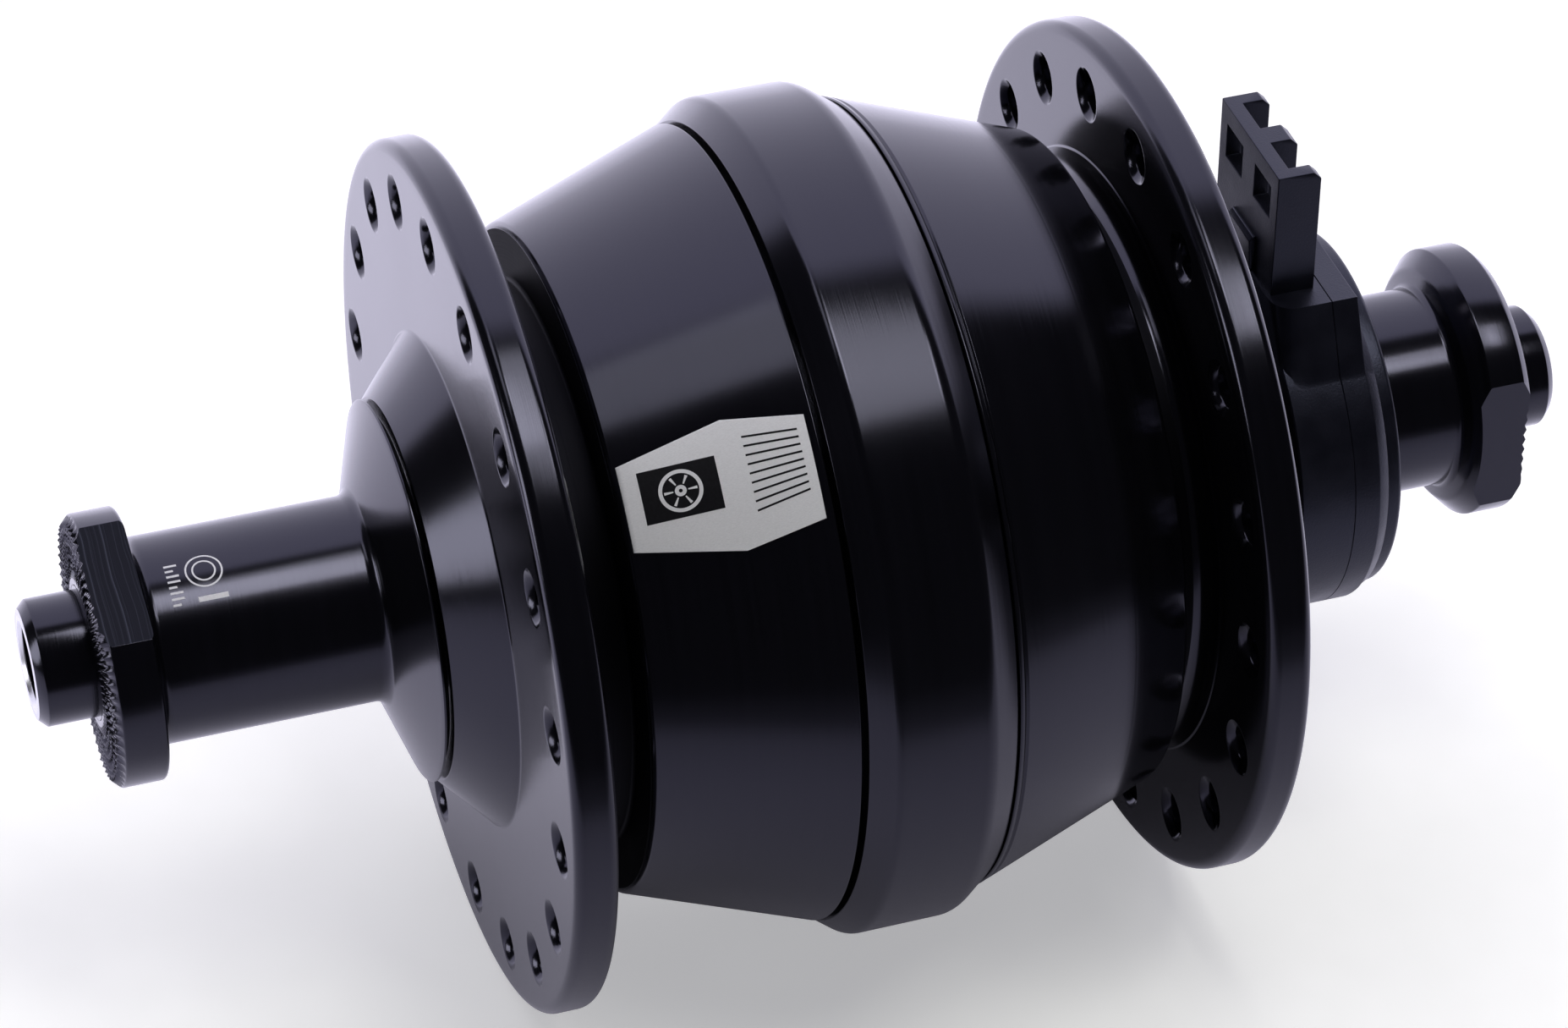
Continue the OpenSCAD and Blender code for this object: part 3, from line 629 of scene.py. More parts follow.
def bevelled(bm, width):
    """Rounds every edge of a flat-sided solid, and splits it into triangles, which a boolean handles best."""
    bmesh.ops.recalc_face_normals(bm, faces=bm.faces)
    edges = [e for e in bm.edges if e.calc_face_angle(0) > math.radians(20)]
    bmesh.ops.bevel(bm, geom=edges, offset=width, segments=2, profile=0.5, affect="EDGES", clamp_overlap=True)
    weld(bm)
    bmesh.ops.triangulate(bm, faces=bm.faces)
    return weld(bm)


def combine(target, other, operation):
    """Adds, removes or intersects another bmesh, in place of target."""
    things = []
    for bm in (target, other):
        bmesh.ops.recalc_face_normals(bm, faces=bm.faces)
        mesh = bpy.data.meshes.new("working")
        bm.to_mesh(mesh)
        bm.free()
        thing = bpy.data.objects.new("working", mesh)
        bpy.context.scene.collection.objects.link(thing)
        things.append(thing)
    modifier = things[0].modifiers.new("combine", "BOOLEAN")
    modifier.operation = operation
    modifier.solver = "EXACT"
    modifier.object = things[1]
    bpy.context.view_layer.update()
    result = bmesh.new()
    result.from_object(things[0], bpy.context.evaluated_depsgraph_get())
    for thing in things:
        mesh = thing.data
        bpy.data.objects.remove(thing)
        bpy.data.meshes.remove(mesh)
    return weld(result)


# ---- Shell ----

def drilled_face(y):
    """The points that bound a flange face's drilled ring."""
    return [(DRILLED_IN, y, 0), (DRILLED_OUT, y, 0)]


def shell_profile(boss_end, shoulder, joint):
    """Half of the shell, drawn on the +Y side."""
    return [
        (BOSS_R, boss_end, 0.22),
        (BOSS_FOOT_R, FLANGE_OUT, 0.35),
        *drilled_face(FLANGE_OUT),
        (FLANGE_R, FLANGE_OUT, 0.8),
        (FLANGE_R, FLANGE_IN, 0.8),
        *reversed(drilled_face(FLANGE_IN)),
        (NECK_STEP_R + 0.12, FLANGE_IN, 0.08),
        (NECK_STEP_R, FLANGE_IN - NECK_STEP, 0.08),
        (NECK_R, FLANGE_IN - NECK_STEP, 1.3),
        (NECK_R, shoulder, 0.3),
        (CONE_SMALL_R, shoulder, 0.5),
        (CONE_LARGE_R, joint, 0.12),
        (TONGUE_R, joint, 0.05),
        (TONGUE_R, RIGHT_TONGUE, 0.05),
        (SHELL_BORE_R, RIGHT_TONGUE, 0.05),
        (SHELL_BORE_R, FLUX_HALF + 0.1, 0.05),
        (MAGNET_OUT, FLUX_HALF + 0.1, 0.05),
        (STATOR_R + 0.8, CAVITY_SLOPE, 0.3),
        (CAVITY_NECK_R, CAVITY_NECK, 0.3),
        (CAVITY_NECK_R, BEARING_IN - 1.1, 0.2),
        (CAVITY_NECK_R - 4.5, BEARING_IN - 0.6, 0.1),
        (SEAT_R - 1, BEARING_IN - 0.6, 0.05),
        (SEAT_R - 1, BEARING_IN - FIT, 0.05),
        (SEAT_R, BEARING_IN - FIT, 0.05),
        (SEAT_R, BEARING_OUT + 0.05, 0.05),
        (SEAL_SEAT_R, BEARING_OUT + 0.05, 0.05),
        (SEAL_SEAT_R, boss_end, 0.15),
    ]


def with_groove(profile):
    """Adds the sealing ring's groove to the tongue, after the point where the cone turns in."""
    i = next(k for k, p in enumerate(profile) if abs(p[0] - TONGUE_R) < SAME)
    floor = TONGUE_R - GROOVE_DEPTH
    near, far = GROOVE_MIDDLE - GROOVE_HALF, GROOVE_MIDDLE + GROOVE_HALF
    groove = [(TONGUE_R, far, 0.04), (floor, far, 0.1), (floor, near, 0.1), (TONGUE_R, near, 0.04)]
    return profile[:i + 1] + groove + profile[i + 1:]


def with_line(profile):
    """Adds the fine turned line beside the centre band to the right cone."""
    i = next(k for k, p in enumerate(profile) if abs(p[0] - CONE_LARGE_R) < SAME)
    slope = (CONE_LARGE_R - CONE_SMALL_R) / (RIGHT_SHOULDER - RIGHT_JOINT)

    def on_cone(y):
        return CONE_LARGE_R - slope * (y - RIGHT_JOINT)

    near, far = TURNED_LINE - TURNED_LINE_HALF, TURNED_LINE + TURNED_LINE_HALF
    line = [(on_cone(far), far, 0.05), (on_cone(TURNED_LINE) - TURNED_LINE_HALF, TURNED_LINE, 0.04),
            (on_cone(near), near, 0.05)]
    return profile[:i] + line + profile[i:]


def shade_groove(mesh):
    """Gives the shoulder and the neck, in the recess beside the flange, the darker black of painted shade."""
    for face in mesh.polygons:
        radius = math.hypot(face.center.x, face.center.z) / MM
        depth = abs(face.center.y) / MM
        if NECK_R - 0.01 < radius < CONE_SMALL_R - 0.35 and LEFT_SHOULDER - 0.1 < depth < FLANGE_IN - 1.3:
            face.material_index = 1
    return mesh


def make_shell(black, painted_shade_black):
    left = mirrored(with_groove(shell_profile(-LEFT_BOSS, LEFT_SHOULDER, LEFT_JOINT)))
    right = with_line(with_groove(shell_profile(RIGHT_BOSS, RIGHT_SHOULDER, RIGHT_JOINT)))
    band = [
        (BAND_LEFT_R, BAND_LEFT, 0.12),
        (BAND_R, BAND_LEFT_CORNER, 0.9),
        (BAND_R, BAND_RIGHT_CORNER, 1.6),
        (BAND_RIGHT_R, BAND_RIGHT, 0.1),
        (TONGUE_R + FIT, BAND_RIGHT, 0.05),
        (TONGUE_R + FIT, RIGHT_TONGUE - 0.1, 0.05),
        (SHELL_BORE_R, RIGHT_TONGUE - 0.1, 0.05),
        (SHELL_BORE_R, -RIGHT_TONGUE + 0.1, 0.05),
        (TONGUE_R + FIT, -RIGHT_TONGUE + 0.1, 0.05),
        (TONGUE_R + FIT, BAND_LEFT, 0.05),
    ]
    # Each shell piece's second material is the painted shade of its neck and shoulder
    for name, node, bm in (
        ("left_shell_turned", "left_shell", turned(left, LEFT_PHASE, drilled=True)),
        ("right_shell_turned", "right_shell", turned(right, RIGHT_PHASE, drilled=True)),
        ("centre_band_turned", "centre_band", turned(band)),
    ):
        mesh = shade_groove(finish_mesh(bm, name))
        even_normals(piece(name, mesh, TURNING, node, [black, painted_shade_black]))


# ---- Axle and end parts ----

def bite_ring(face, outer):
    """Steps across the clamping face's toothed ring, from its outer to its inner radius."""
    return [(outer + (BITE_IN - outer) * i / BITE_STEPS, face, 0) for i in range(BITE_STEPS + 1)]


def teeth(face, side, outer):
    """The shape that sinks slanted V teeth into the clamping face. side is 1 if it looks along +Y, or -1."""
    def shape(r, y, angle):
        if abs(y - face) > SAME or not BITE_IN < r < outer + SAME:
            return y
        share = (angle + BITE_SLANT * (r - BITE_IN) / (outer - BITE_IN)) * BITE_TEETH / TURN % 1
        rise = min(1, (r - BITE_IN) / BITE_RISE)
        return y - side * BITE_DEPTH * rise * (1 - abs(2 * share - 1))
    return shape


def cut_flats(bm, angle, start, end, slot):
    """Cuts a disc's two wrench flats from y = start to y = end. slot is their material."""
    # The teeth's bent faces are split first, because a boolean needs flat ones
    toothed = [face for face in bm.faces if abs(face.calc_center_median().y) > RIGHT_FACE - 0.5]
    bmesh.ops.triangulate(bm, faces=toothed)
    for turn in (0, math.pi):
        cutter = block((FLATS, start, -RIGHT_DISC_R), (FLATS + RIGHT_DISC_R, end, RIGHT_DISC_R))
        bmesh.ops.rotate(cutter, cent=(0, 0, 0), verts=cutter.verts,
                         matrix=Matrix.Rotation(-math.radians(angle) - turn, 3, "Y"))
        bm = combine(bm, cutter, "DIFFERENCE")
    across = Vector(on_circle(1, math.radians(angle), 0))
    for face in bm.faces:
        distance = abs(face.calc_center_median().dot(across))
        if abs(distance - FLATS) < 1e-3 and abs(face.normal.dot(across)) > 0.999:
            face.material_index = slot
    return bm


def make_sleeves(black, milled):
    left = [
        (AXLE_LAND_R + FIT, LEFT_FACE, 0.1),
        *reversed(bite_ring(LEFT_FACE, LEFT_BITE_OUT)),
        (DISC_R, LEFT_FACE + DISC_CHAMFER, 0.25),
        (DISC_R, -DISC_BACK, 0.3),
        (SLEEVE_R, -DISC_BACK, 0.8),
        (SLEEVE_R, -FLARE_START, 0.8),
        (FLARE_R - 0.35, -FLARE_LIP, 0.3),
        (FLARE_R, -FLARE_FACE - 0.12, 0.08),
        (FLARE_R, -FLARE_FACE, 0),
        (INNER_RACE_R, -FLARE_FACE, 0.05),
        (INNER_RACE_R, LEFT_RACE_STOP, 0.1),
        (AXLE_R + FIT, LEFT_RACE_STOP, 0.1),
        (AXLE_R + FIT, -AXLE_SHOULDER - FIT, 0.02),
        (AXLE_LAND_R + FIT, -AXLE_SHOULDER - FIT, 0.02),
    ]
    right = [
        (AXLE_LAND_R + FIT, RIGHT_FACE, 0.1),
        (AXLE_LAND_R + FIT, AXLE_SHOULDER + FIT, 0.02),
        (AXLE_R + FIT, AXLE_SHOULDER + FIT, 0.02),
        (AXLE_R + FIT, RIGHT_SLEEVE_START, 0.1),
        (SLEEVE_R, RIGHT_SLEEVE_START, 0.1),
        (SLEEVE_R, RIGHT_CONE_START, 0.5),
        (RIGHT_DISC_R - 1.25, RIGHT_CONE_START + 0.25, 0.8),
        (RIGHT_DISC_R, RIGHT_CONE_END, 0.2),
        (RIGHT_DISC_R, RIGHT_FACE - DISC_CHAMFER, 0.25),
        (RIGHT_DISC_R - DISC_CHAMFER, RIGHT_FACE, 0.12),
        *bite_ring(RIGHT_FACE, RIGHT_BITE_OUT),
    ]
    slices = 8 * BITE_TEETH
    for name, node, profile, face, side, outer, flats in (
        ("left_sleeve_turned", "flared_sleeve", left, LEFT_FACE, -1, LEFT_BITE_OUT,
         (LEFT_FLAT_ANGLE, LEFT_FACE - 1, -DISC_BACK, 1)),
        ("right_sleeve_turned", "end_sleeve", right, RIGHT_FACE, 1, RIGHT_BITE_OUT,
         (RIGHT_FLAT_ANGLE, RIGHT_FLAT_START, RIGHT_FACE + 1, 0)),
    ):
        bm = cut_flats(turned(profile, shape=teeth(face, side, outer), slices=slices), *flats)
        even_normals(piece(name, finish_mesh(bm, name), STILL, node, [black, milled]))


def make_axle(black, bare):
    """The hollow axle. Its end faces are bare metal, because they are cut after anodising."""
    def half(end, land, shoulder):
        return [
            (BORE_R + BORE_CHAMFER, end, 0),
            (AXLE_END_R - AXLE_END_CHAMFER, end, 0.12),
            (AXLE_END_R, end - math.copysign(AXLE_END_CHAMFER, end), 0.15),
            (AXLE_END_R, land, 0),
            (AXLE_LAND_R, land, 0),
            (AXLE_LAND_R, shoulder, 0.03),
            (AXLE_R, shoulder, 0.1),
        ]
    profile = [
        *half(AXLE_LEFT, LEFT_FACE, -AXLE_SHOULDER),
        *reversed(half(AXLE_RIGHT, RIGHT_FACE, AXLE_SHOULDER)),
        (BORE_R, AXLE_RIGHT - BORE_CHAMFER, 0.1),
        (BORE_R, AXLE_LEFT + BORE_CHAMFER, 0.1),
    ]
    width, floor, start, end = LEAD_SLOT
    slot = block((-width / 2, start, floor), (width / 2, end, AXLE_R + 1))
    bm = combine(turned(profile, slices=192), slot, "DIFFERENCE")
    for face in bm.faces:
        middle = face.calc_center_median()
        radius = math.hypot(middle.x, middle.z)
        if BORE_R < radius < AXLE_END_R - 0.55 and abs(middle.y) > AXLE_RIGHT - 0.3:
            face.material_index = 1
    mesh = finish_mesh(bm, "axle_turned")
    even_normals(piece("axle_turned", mesh, STILL, "axle", [black, bare]))


# ---- Connector ----

def housing_outline(inset, half=PEDESTAL_HALF):
    """The housing seen along the axle, drawn in by inset: a round body with a pedestal on top whose half
    width is half, as (x, z) points."""
    radius, top = HOUSING_R - inset, PEDESTAL_TOP - inset
    foot = math.acos((PEDESTAL_FOOT_X - (PEDESTAL_HALF - half) - inset) / radius)
    sweep = TURN - math.pi + 2 * foot
    angles = [foot - sweep * i / HOUSING_STEPS for i in range(HOUSING_STEPS + 1)]
    points = [(radius * math.cos(t), radius * math.sin(t)) for t in angles]
    corners = [points[-1], (-half + inset, top), (half - inset, top), points[0]]
    for a, b, steps in zip(corners, corners[1:], PEDESTAL_STEPS):
        shares = [k / steps for k in range(1, steps + 1)]
        points += [(a[0] + (b[0] - a[0]) * t, a[1] + (b[1] - a[1]) * t) for t in shares]
    return points[:-1]


def loft(sections):
    """A bmesh through closed sections of equal count, joined first to last. A section is a list of points
    (x, z) with its y, or a radius with its y, which takes the first outline's angles."""
    bm = bmesh.new()
    pattern = next(outline for outline, _ in sections if isinstance(outline, list))
    angles = [math.atan2(z, x) for x, z in pattern]
    rings = []
    for outline, y in sections:
        if not isinstance(outline, list):
            outline = [(outline * math.cos(t), outline * math.sin(t)) for t in angles]
        rings.append([bm.verts.new((x, y, z)) for x, z in outline])
    for i in range(len(rings)):
        bridge(bm, rings[i], rings[(i + 1) % len(rings)])
    return bm


def housing_front():
    """The front half of the housing. Its pedestal's two upright corners are rounded."""
    corner = []
    for i in range(CORNER_STEPS + 1):
        turn = math.pi / 2 * i / CORNER_STEPS
        depth = PEDESTAL_CORNER * (1 - math.cos(turn))
        half = PEDESTAL_HALF - PEDESTAL_CORNER * (1 - math.sin(turn))
        corner.append((housing_outline(max(0, EDGE - depth * 1.6), half), HOUSING_IN + depth))
    return loft([
        (COLLAR_BORE_R, HOUSING_NECK),
        (HOUSING_NECK_R - 0.15, HOUSING_NECK),
        (HOUSING_NECK_R, HOUSING_NECK + 0.15),
        (HOUSING_NECK_R, HOUSING_IN),
        *corner,
        (housing_outline(0), PARTING - 0.04),
        (housing_outline(0.03), PARTING),
        (AXLE_R + FIT, PARTING),
        (AXLE_R + FIT, HOUSING_IN + 0.25),
        (COLLAR_BORE_R, HOUSING_IN + 0.25),
    ])


def housing_back():
    """The rear half of the housing, whose pedestal stops short of its chamfered edge."""
    step = CAP_END - CAP_CHAMFER
    return loft([
        (AXLE_R + FIT, CAP_START),
        (housing_outline(0.03), CAP_START),
        (housing_outline(0), CAP_START + 0.04),
        (housing_outline(0), step - 0.15),
        (housing_outline(0.04), step - 0.04),
        (housing_outline(0.15), step),
        (HOUSING_R - EDGE, step),
        (HOUSING_R - 0.5, CAP_END - 0.08),
        (HOUSING_R - 0.6, CAP_END),
        (AXLE_R + FIT, CAP_END),
    ])


def contact_tower():
    """The plug's tower: a front plate with three ribs behind it, two windows and a latch pad."""
    half, wall, mid = TOWER_HALF, TOWER_HALF - SIDE_RIB, MID_RIB / 2
    front, plate, back = TOWER_FRONT, TOWER_FRONT + TOWER_PLATE, TOWER_BACK
    outline = [(-half, front), (half, front), (half, back), (wall, back), (wall, plate), (mid, plate),
               (mid, back), (-mid, back), (-mid, plate), (-wall, plate), (-wall, back), (-half, back)]
    bm = prism(outline, "Z", PEDESTAL_TOP - 1, TOWER_TOP)
    window = CHANNEL / 2 - WINDOW_MARGIN
    for x in (-CHANNEL_X, CHANNEL_X):
        room = block((x - window, front - 1, WINDOW_LOW), (x + window, plate + 0.5, WINDOW_HIGH))
        bm = combine(bm, room, "DIFFERENCE")
    cut = bmesh.ops.bisect_plane(bm, geom=bm.verts[:] + bm.edges[:] + bm.faces[:], dist=1e-5,
                                 plane_co=(0, back, TOWER_TOP - TOWER_CHAMFER), clear_outer=True,
                                 plane_no=Vector((0, 1, 1)).normalized())
    edges = [e for e in cut["geom_cut"] if isinstance(e, bmesh.types.BMEdge)]
    bmesh.ops.holes_fill(bm, edges=edges, sides=0)
    pad = prism([(front + 0.4, PEDESTAL_TOP - 1), (front - 0.22, PEDESTAL_TOP - 1),
                 (front - 0.45, PAD_TOP - 0.3), (front - 0.15, PAD_TOP), (front + 0.4, PAD_TOP)],
                "X", -PAD_HALF, PAD_HALF)
    return combine(bevelled(bm, 0.11), bevelled(pad, 0.07), "UNION")


def cut_lead_room(bm):
    """Cuts room inside the front half for the two leads, side by side, and for the blades' feet."""
    floor, end = LEAD_RISE - 0.7, PARTING + 1
    side = CHANNEL_X + 1.3
    blade = TOWER_FRONT + TOWER_PLATE
    half = BLADE_W / 2 + 0.1
    rooms = [block((-1.15, floor, LEAD_LOW - 1), (1.15, end, LEAD_TURN + 0.9)),
             block((-side, floor, LEAD_TURN - 0.6), (side, end, BLADE_LOW + 1))]
    rooms += [block((x - half, blade, BLADE_LOW - 0.2), (x + half, blade + 0.55, PEDESTAL_TOP + 1))
              for x in (-CHANNEL_X, CHANNEL_X)]
    for room in rooms:
        bm = combine(bm, room, "DIFFERENCE")
    return bm


def make_connector(plastic):
    front = cut_lead_room(combine(housing_front(), contact_tower(), "UNION"))
    cover = turned([
        (AXLE_R + FIT, COVER_START, 0.05),
        (COVER_R, COVER_START, 0.08),
        (COVER_R, COVER_END, 0.35),
        (SLEEVE_R + 1.4, COVER_END, 0.1),
        (SLEEVE_R + 1.2, COVER_END - 0.2, 0.1),
        (AXLE_R + FIT, COVER_END - 0.2, 0.05),
    ], slices=216)
    for name, node, bm in (("connector_front_moulded", "connector_base", front),
                           ("connector_back_moulded", "connector_cap", housing_back()),
                           ("connector_cover_moulded", "connector_cover", cover)):
        even_normals(piece(name, finish_mesh(bm, name), STILL, node, [plastic]))


# ---- Badge and printed marks ----

def left_cone(y):
    """Radius of the left cone's surface."""
    return CONE_SMALL_R + (CONE_LARGE_R - CONE_SMALL_R) * (y + LEFT_SHOULDER) / (LEFT_SHOULDER - LEFT_JOINT)


def on_badge(y, across, height):
    """A point above the left cone: across is measured square to the badge's own direction."""
    radius = left_cone(y) + height
    out = math.sqrt(radius * radius - across * across)
    c, s = math.cos(BADGE_DIRECTION), math.sin(BADGE_DIRECTION)
    return out * c - across * s, y, out * s + across * c


def on_sleeve(y, across, height):
    """A point above the left sleeve, where across is an arc length from the badge's direction."""
    return on_circle(SLEEVE_R + height, BADGE_DIRECTION + across / SLEEVE_R, y)


def rim(grid):
    """The outer points of a grid, in order round it."""
    columns, rows = len(grid) - 1, len(grid[0]) - 1
    return ([grid[i][0] for i in range(columns)] + [grid[columns][j] for j in range(rows)]
            + [grid[i][rows] for i in range(columns, 0, -1)] + [grid[0][j] for j in range(rows, 0, -1)])


def sheet(bm, place, where, columns, rows, low, high, edge=0.0):
    """A thin closed plate that follows a surface. where(u, v), for u and v from 0 to 1, gives its two surface
    coordinates, place turns these and a height into a point, and edge insets the upper face."""
    def lay_out(height, inset):
        across = [inset + i / columns * (1 - 2 * inset) for i in range(columns + 1)]
        along = [inset + j / rows * (1 - 2 * inset) for j in range(rows + 1)]
        return [[bm.verts.new(place(*where(u, v), height)) for v in along] for u in across]

    top, bottom = lay_out(high, edge), lay_out(low, 0)
    for i in range(columns):
        for j in range(rows):
            bm.faces.new((top[i][j], top[i + 1][j], top[i + 1][j + 1], top[i][j + 1]))
            bm.faces.new((bottom[i][j + 1], bottom[i + 1][j + 1], bottom[i + 1][j], bottom[i][j]))
    if not edge:
        bridge(bm, rim(top), rim(bottom))
        return
    shoulder = lay_out(high - 0.04, 0)
    middle = rim(shoulder)
    bridge(bm, rim(top), middle)
    bridge(bm, middle, rim(bottom))
    keep = set(middle)
    spare = [v for column in shoulder for v in column if v not in keep]
    bmesh.ops.delete(bm, geom=spare, context="VERTS")


def box_of(y0, y1, a0, a1):
    return lambda u, v: (y0 + (y1 - y0) * u, a0 + (a1 - a0) * v)


def slanted(y0, y1, across, rise, half):
    """A line from y0 to y1 whose far end is higher by rise."""
    return lambda u, v: (y0 + (y1 - y0) * u, across + rise * u + half * (2 * v - 1))


def ring_of(y, across, inner, outer, start=0.0, end=TURN * 0.9999):
    """Part of a ring. A whole one stops just short of its start, so that it stays a sheet."""
    def where(u, v):
        radius, angle = inner + (outer - inner) * u, start + (end - start) * v
        return y + radius * math.cos(angle), across + radius * math.sin(angle)
    return where


def badge_outline(u, v):
    y = BADGE_LEFT + (BADGE_RIGHT - BADGE_LEFT) * u
    narrow, wide, right = BADGE_HALVES
    if y < BADGE_MIDDLE:
        half = narrow + (wide - narrow) * (y - BADGE_LEFT) / (BADGE_MIDDLE - BADGE_LEFT)
    else:
        half = wide + (right - wide) * (y - BADGE_MIDDLE) / (BADGE_RIGHT - BADGE_MIDDLE)
    return y, half * (2 * v - 1)


def make_badge(foil, ink):
    """The badge's foil plate, a black patch and a fan of lines printed on it, and a plain wheel."""
    plate = bmesh.new()
    sheet(plate, on_badge, badge_outline, 52, 40, FIT, BADGE_TOP, edge=0.004)
    mesh = finish_mesh(plate, "badge_plate")
    even_normals(piece("badge_plate", mesh, TURNING, "badge", [foil]))

    printed = bmesh.new()
    low, high = BADGE_TOP, BADGE_TOP + INK
    sheet(printed, on_badge, box_of(-16.35, -11.55, -1.3, 2.1), 20, 16, low, high)
    for i in range(FAN_LINES):
        rise = 0.6 - 0.9 * i / (FAN_LINES - 1)
        sheet(printed, on_badge, slanted(-9.7, -6.35, -1.95 + 0.6 * i, rise, 0.065), 14, 1, low, high)
    piece("badge_print", finish_mesh(printed, "badge_print"), TURNING, materials=[ink])

    wheel = bmesh.new()
    y, across = -13.95, 0.4
    low, high = high, high + INK
    sheet(wheel, on_badge, ring_of(y, across, 1.12, 1.36), 2, 64, low, high)
    sheet(wheel, on_badge, ring_of(y, across, 0.12, 0.36), 2, 32, low, high)
    for k in range(WHEEL_SPOKES):
        middle = TURN * k / WHEEL_SPOKES
        sheet(wheel, on_badge, ring_of(y, across, 0.46, 1.02, middle - 0.09, middle + 0.09), 6, 2, low, high)
    piece("badge_wheel", finish_mesh(wheel, "badge_wheel"), TURNING, materials=[foil])


def make_sleeve_marks(pale):
    """Plain etched ticks, a bar and two rings on the left sleeve."""
    marks = bmesh.new()
    for i in range(SLEEVE_TICKS):
        length = 0.85 if i % 3 else 0.55
        across = 1.15 + i * 0.42
        sheet(marks, on_sleeve, box_of(-44.6, -44.6 + length, across, across + 0.16), 6, 3, 0.0, INK)
    sheet(marks, on_sleeve, box_of(-42.9, -40.9, 1.15, 1.5), 8, 4, 0.0, INK)
    for radius in (1.25, 0.8):
        sheet(marks, on_sleeve, ring_of(-42.1, 3.35, radius - 0.12, radius), 2, 56, 0.0, INK)
    piece("sleeve_marks", finish_mesh(marks, "sleeve_marks"), STILL, materials=[pale])


# ---- Stage, lights and camera ----

def make_floor():
    """White paper. It glows a little, painted light that keeps it pale. What the hub mirrors of it is a
    painted
    glow in place of lit paper: bright behind the hub, fading to nothing in the dark room in front."""
    n = new_finish("paper_floor", specular=0.1)
    fibre = n.noise(vector=n.position(), scale=1 / (3 * MM), detail=6)
    n.join(n.ramp(fibre, (0.88, 0.885, 0.80), (0.91, 0.915, 0.83), 0.3, 0.7), n.shader.inputs["Base Color"])
    n.set(n.shader, Roughness=0.9, Emission_Color=(0.97, 0.97, 1.0, 1), Emission_Strength=FLOOR_GLOW)

    first, last = FLOOR_SPREAD
    fade = n.add("ShaderNodeValToRGB")
    stops = fade.color_ramp.elements
    while len(stops) < len(FLOOR_MIRRORED):
        stops.new(0.5)
    for stop, (place, level) in zip(stops, FLOOR_MIRRORED):
        stop.position = (place - first) / (last - first)
        stop.color = (*(level / FLOOR_GLOW_TOP * part for part in STUDIO_TINT), 1)
    n.join(n.ramp(n.split(n.position())["X"], 0.0, 1.0, first, last), fade.inputs["Fac"])
    # The mirrored glow is darkened by ambient occlusion close under the hub: a painted contact shadow
    shade = n.add("ShaderNodeAmbientOcclusion", samples=12)
    n.set(shade, Distance=0.12)
    glow = n.add("ShaderNodeEmission")
    strength = n.math("MULTIPLY", n.math("POWER", shade.outputs["AO"], 1.6), FLOOR_GLOW_TOP)
    n.join(strength, glow.inputs["Strength"])
    n.join(fade.outputs["Color"], glow.inputs["Color"])

    mixed = n.add("ShaderNodeMixShader")
    n.join(n.add("ShaderNodeLightPath").outputs["Is Glossy Ray"], mixed.inputs[0])
    n.join(n.shader.outputs[0], mixed.inputs[1])
    n.join(glow.outputs[0], mixed.inputs[2])
    surface = next(node for node in n.tree.nodes if node.type == "OUTPUT_MATERIAL")
    n.join(mixed.outputs[0], surface.inputs["Surface"])

    bm = bmesh.new()
    bmesh.ops.create_circle(bm, cap_ends=True, radius=FLOOR_R, segments=96)
    bmesh.ops.translate(bm, vec=(0, 0, cad_box[0][2]), verts=bm.verts)
    mesh = bpy.data.meshes.new("floor")
    bm.to_mesh(mesh)
    bm.free()
    mesh.materials.append(n.owner)
    floor = bpy.data.objects.new("floor", mesh)
    bpy.context.scene.collection.objects.link(floor)


def make_world():
    """A white backdrop that fills the side behind the object, and a dark studio on the near side.
    What the camera sees beyond the floor is plain and pale."""
    world = bpy.data.worlds.new("studio")
    bpy.context.scene.world = world
    n = Nodes(world, "Background")
    x, y, z = n.split(n.add("ShaderNodeTexCoord").outputs["Generated"])
    above = n.math("MAXIMUM", z, 0.0)
    aside = n.math("MAXIMUM", n.math("SUBTRACT", n.math("MULTIPLY", y, -1.0), 0.35), 0.0)
    lean = n.math("ADD", n.math("MULTIPLY", above, 0.15), n.math("MULTIPLY", aside, 1.5))
    behind = n.math("SUBTRACT", n.math("MULTIPLY", x, -1.0), lean)
    backdrop = n.ramp(behind, 0.03, 1.3, -0.04, 0.12, interpolation_type="SMOOTHSTEP")
    seen = n.add("ShaderNodeMix", data_type="FLOAT")
    n.join(n.add("ShaderNodeLightPath").outputs["Is Camera Ray"], seen.inputs["Factor"])
    n.join(backdrop, seen.inputs["A"])
    n.set(seen, B=0.95)
    n.join(seen.outputs["Result"], n.shader.inputs["Strength"])
    n.set(n.shader, Color=(*STUDIO_TINT, 1))


def area_light(name, place, target, size, radiance, colour):
    """A soft rectangular light of the given radiance, out of the camera's sight. Its lengths are metres."""
    data = bpy.data.lights.new(name, "AREA")
    data.shape = "RECTANGLE"
    data.size, data.size_y = size
    data.energy = radiance * size[0] * size[1] * math.pi
    data.color = colour
    light = bpy.data.objects.new(name, data)
    bpy.context.scene.collection.objects.link(light)
    light.location = place
    light.rotation_euler = (Vector(target) - Vector(place)).to_track_quat("-Z", "Y").to_euler()
    light.visible_camera = False


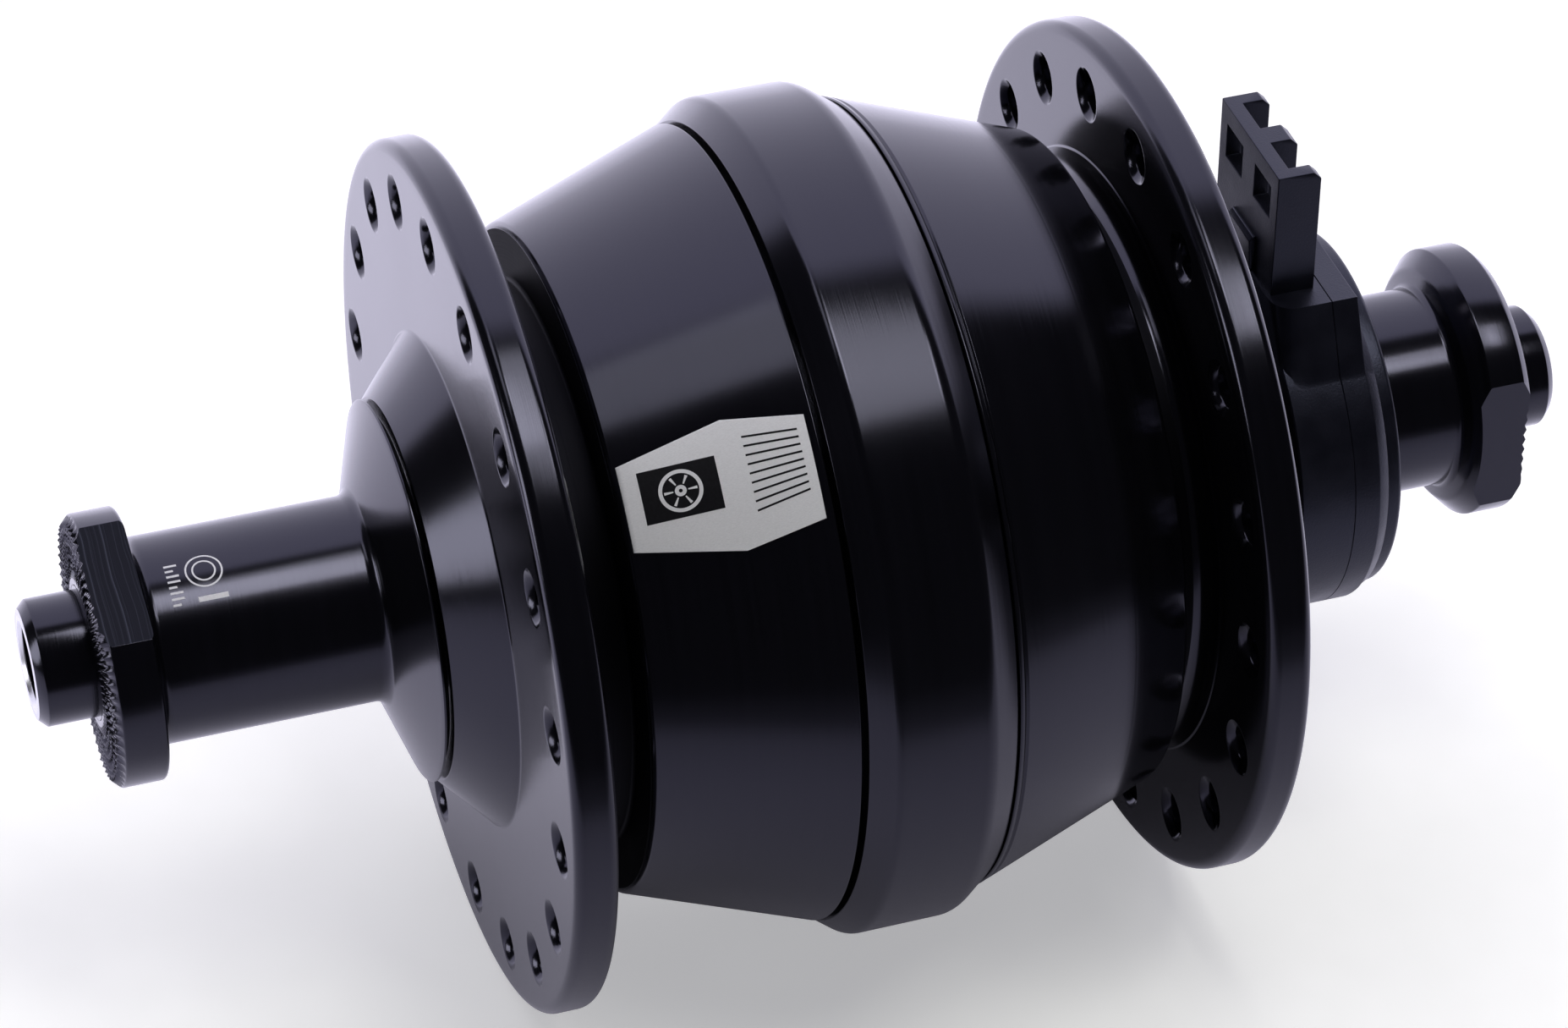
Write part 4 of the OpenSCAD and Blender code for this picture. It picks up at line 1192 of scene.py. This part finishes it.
def make_lights():
    cool, warm = (1, 0.99, 1.05), (1, 0.99, 1)
    area_light("left_softbox", (0.0, -0.19, 0.46), (0, 0, 0), (0.17, 0.13), 1.7, cool)
    area_light("side_softbox", (-0.02, -0.57, 0.12), (0, 0, 0), (0.18, 0.2), 4.5, cool)
    area_light("overhead_softbox", (0.128, 0.09, 0.471), (0.028, 0.02, -0.009), (0.17, 0.29), 3.2, warm)
    area_light("sleeve_softbox", (0.11, 0.03, 0.45), (0, 0, 0), (0.08, 0.15), 4.0, warm)
    area_light("right_softbox", (0.17, 0.225, 0.45), (0, 0.225, 0), (0.07, 0.16), 5.0, warm)


def make_camera():
    """The photograph's view: its direction, distance and lens were fitted to the hub's circles and holes."""
    azimuth, elevation = math.radians(72.1), math.radians(38.33)
    distance, aside, above = 0.3602, -0.00149, -0.00037
    back = Vector((math.sin(azimuth) * math.cos(elevation), -math.cos(azimuth) * math.cos(elevation),
                   math.sin(elevation)))
    right = Vector((math.cos(azimuth), math.sin(azimuth), 0))
    up = back.cross(right)
    data = bpy.data.cameras.new("camera")
    data.lens = 121.0
    data.sensor_width = 36.0
    data.clip_start = 0.01
    camera = bpy.data.objects.new("camera", data)
    bpy.context.scene.collection.objects.link(camera)
    camera.location = back * distance + right * aside + up * above
    camera.rotation_euler = back.to_track_quat("Z", "Y").to_euler()
    bpy.context.scene.camera = camera


# ---- Build ----

make_camera()
finishes = slot_materials()
node_slots = {part["node"]: part["material_slot"] for part in frame["record"]["subparts"]}
for node_name, node_object in frame["nodes"].items():
    node_object.data.materials.clear()
    node_object.data.materials.append(finishes[node_slots[node_name]])

black_anodised = finishes["black_anodised"]
make_shell(black_anodised, groove_painted_shade())
make_sleeves(black_anodised, milled_flat())
make_axle(black_anodised, finishes["plain_aluminium"])
make_connector(finishes["connector_plastic"])
make_badge(finishes["badge_foil"], printed_ink("badge_ink", (0.004, 0.004, 0.005), (0.008, 0.008, 0.01)))
make_sleeve_marks(printed_ink("etched_mark", (0.9, 0.9, 0.9), (1.0, 1.0, 1.0)))

make_floor()
make_world()
make_lights()
bpy.context.scene.view_settings.view_transform = "Standard"
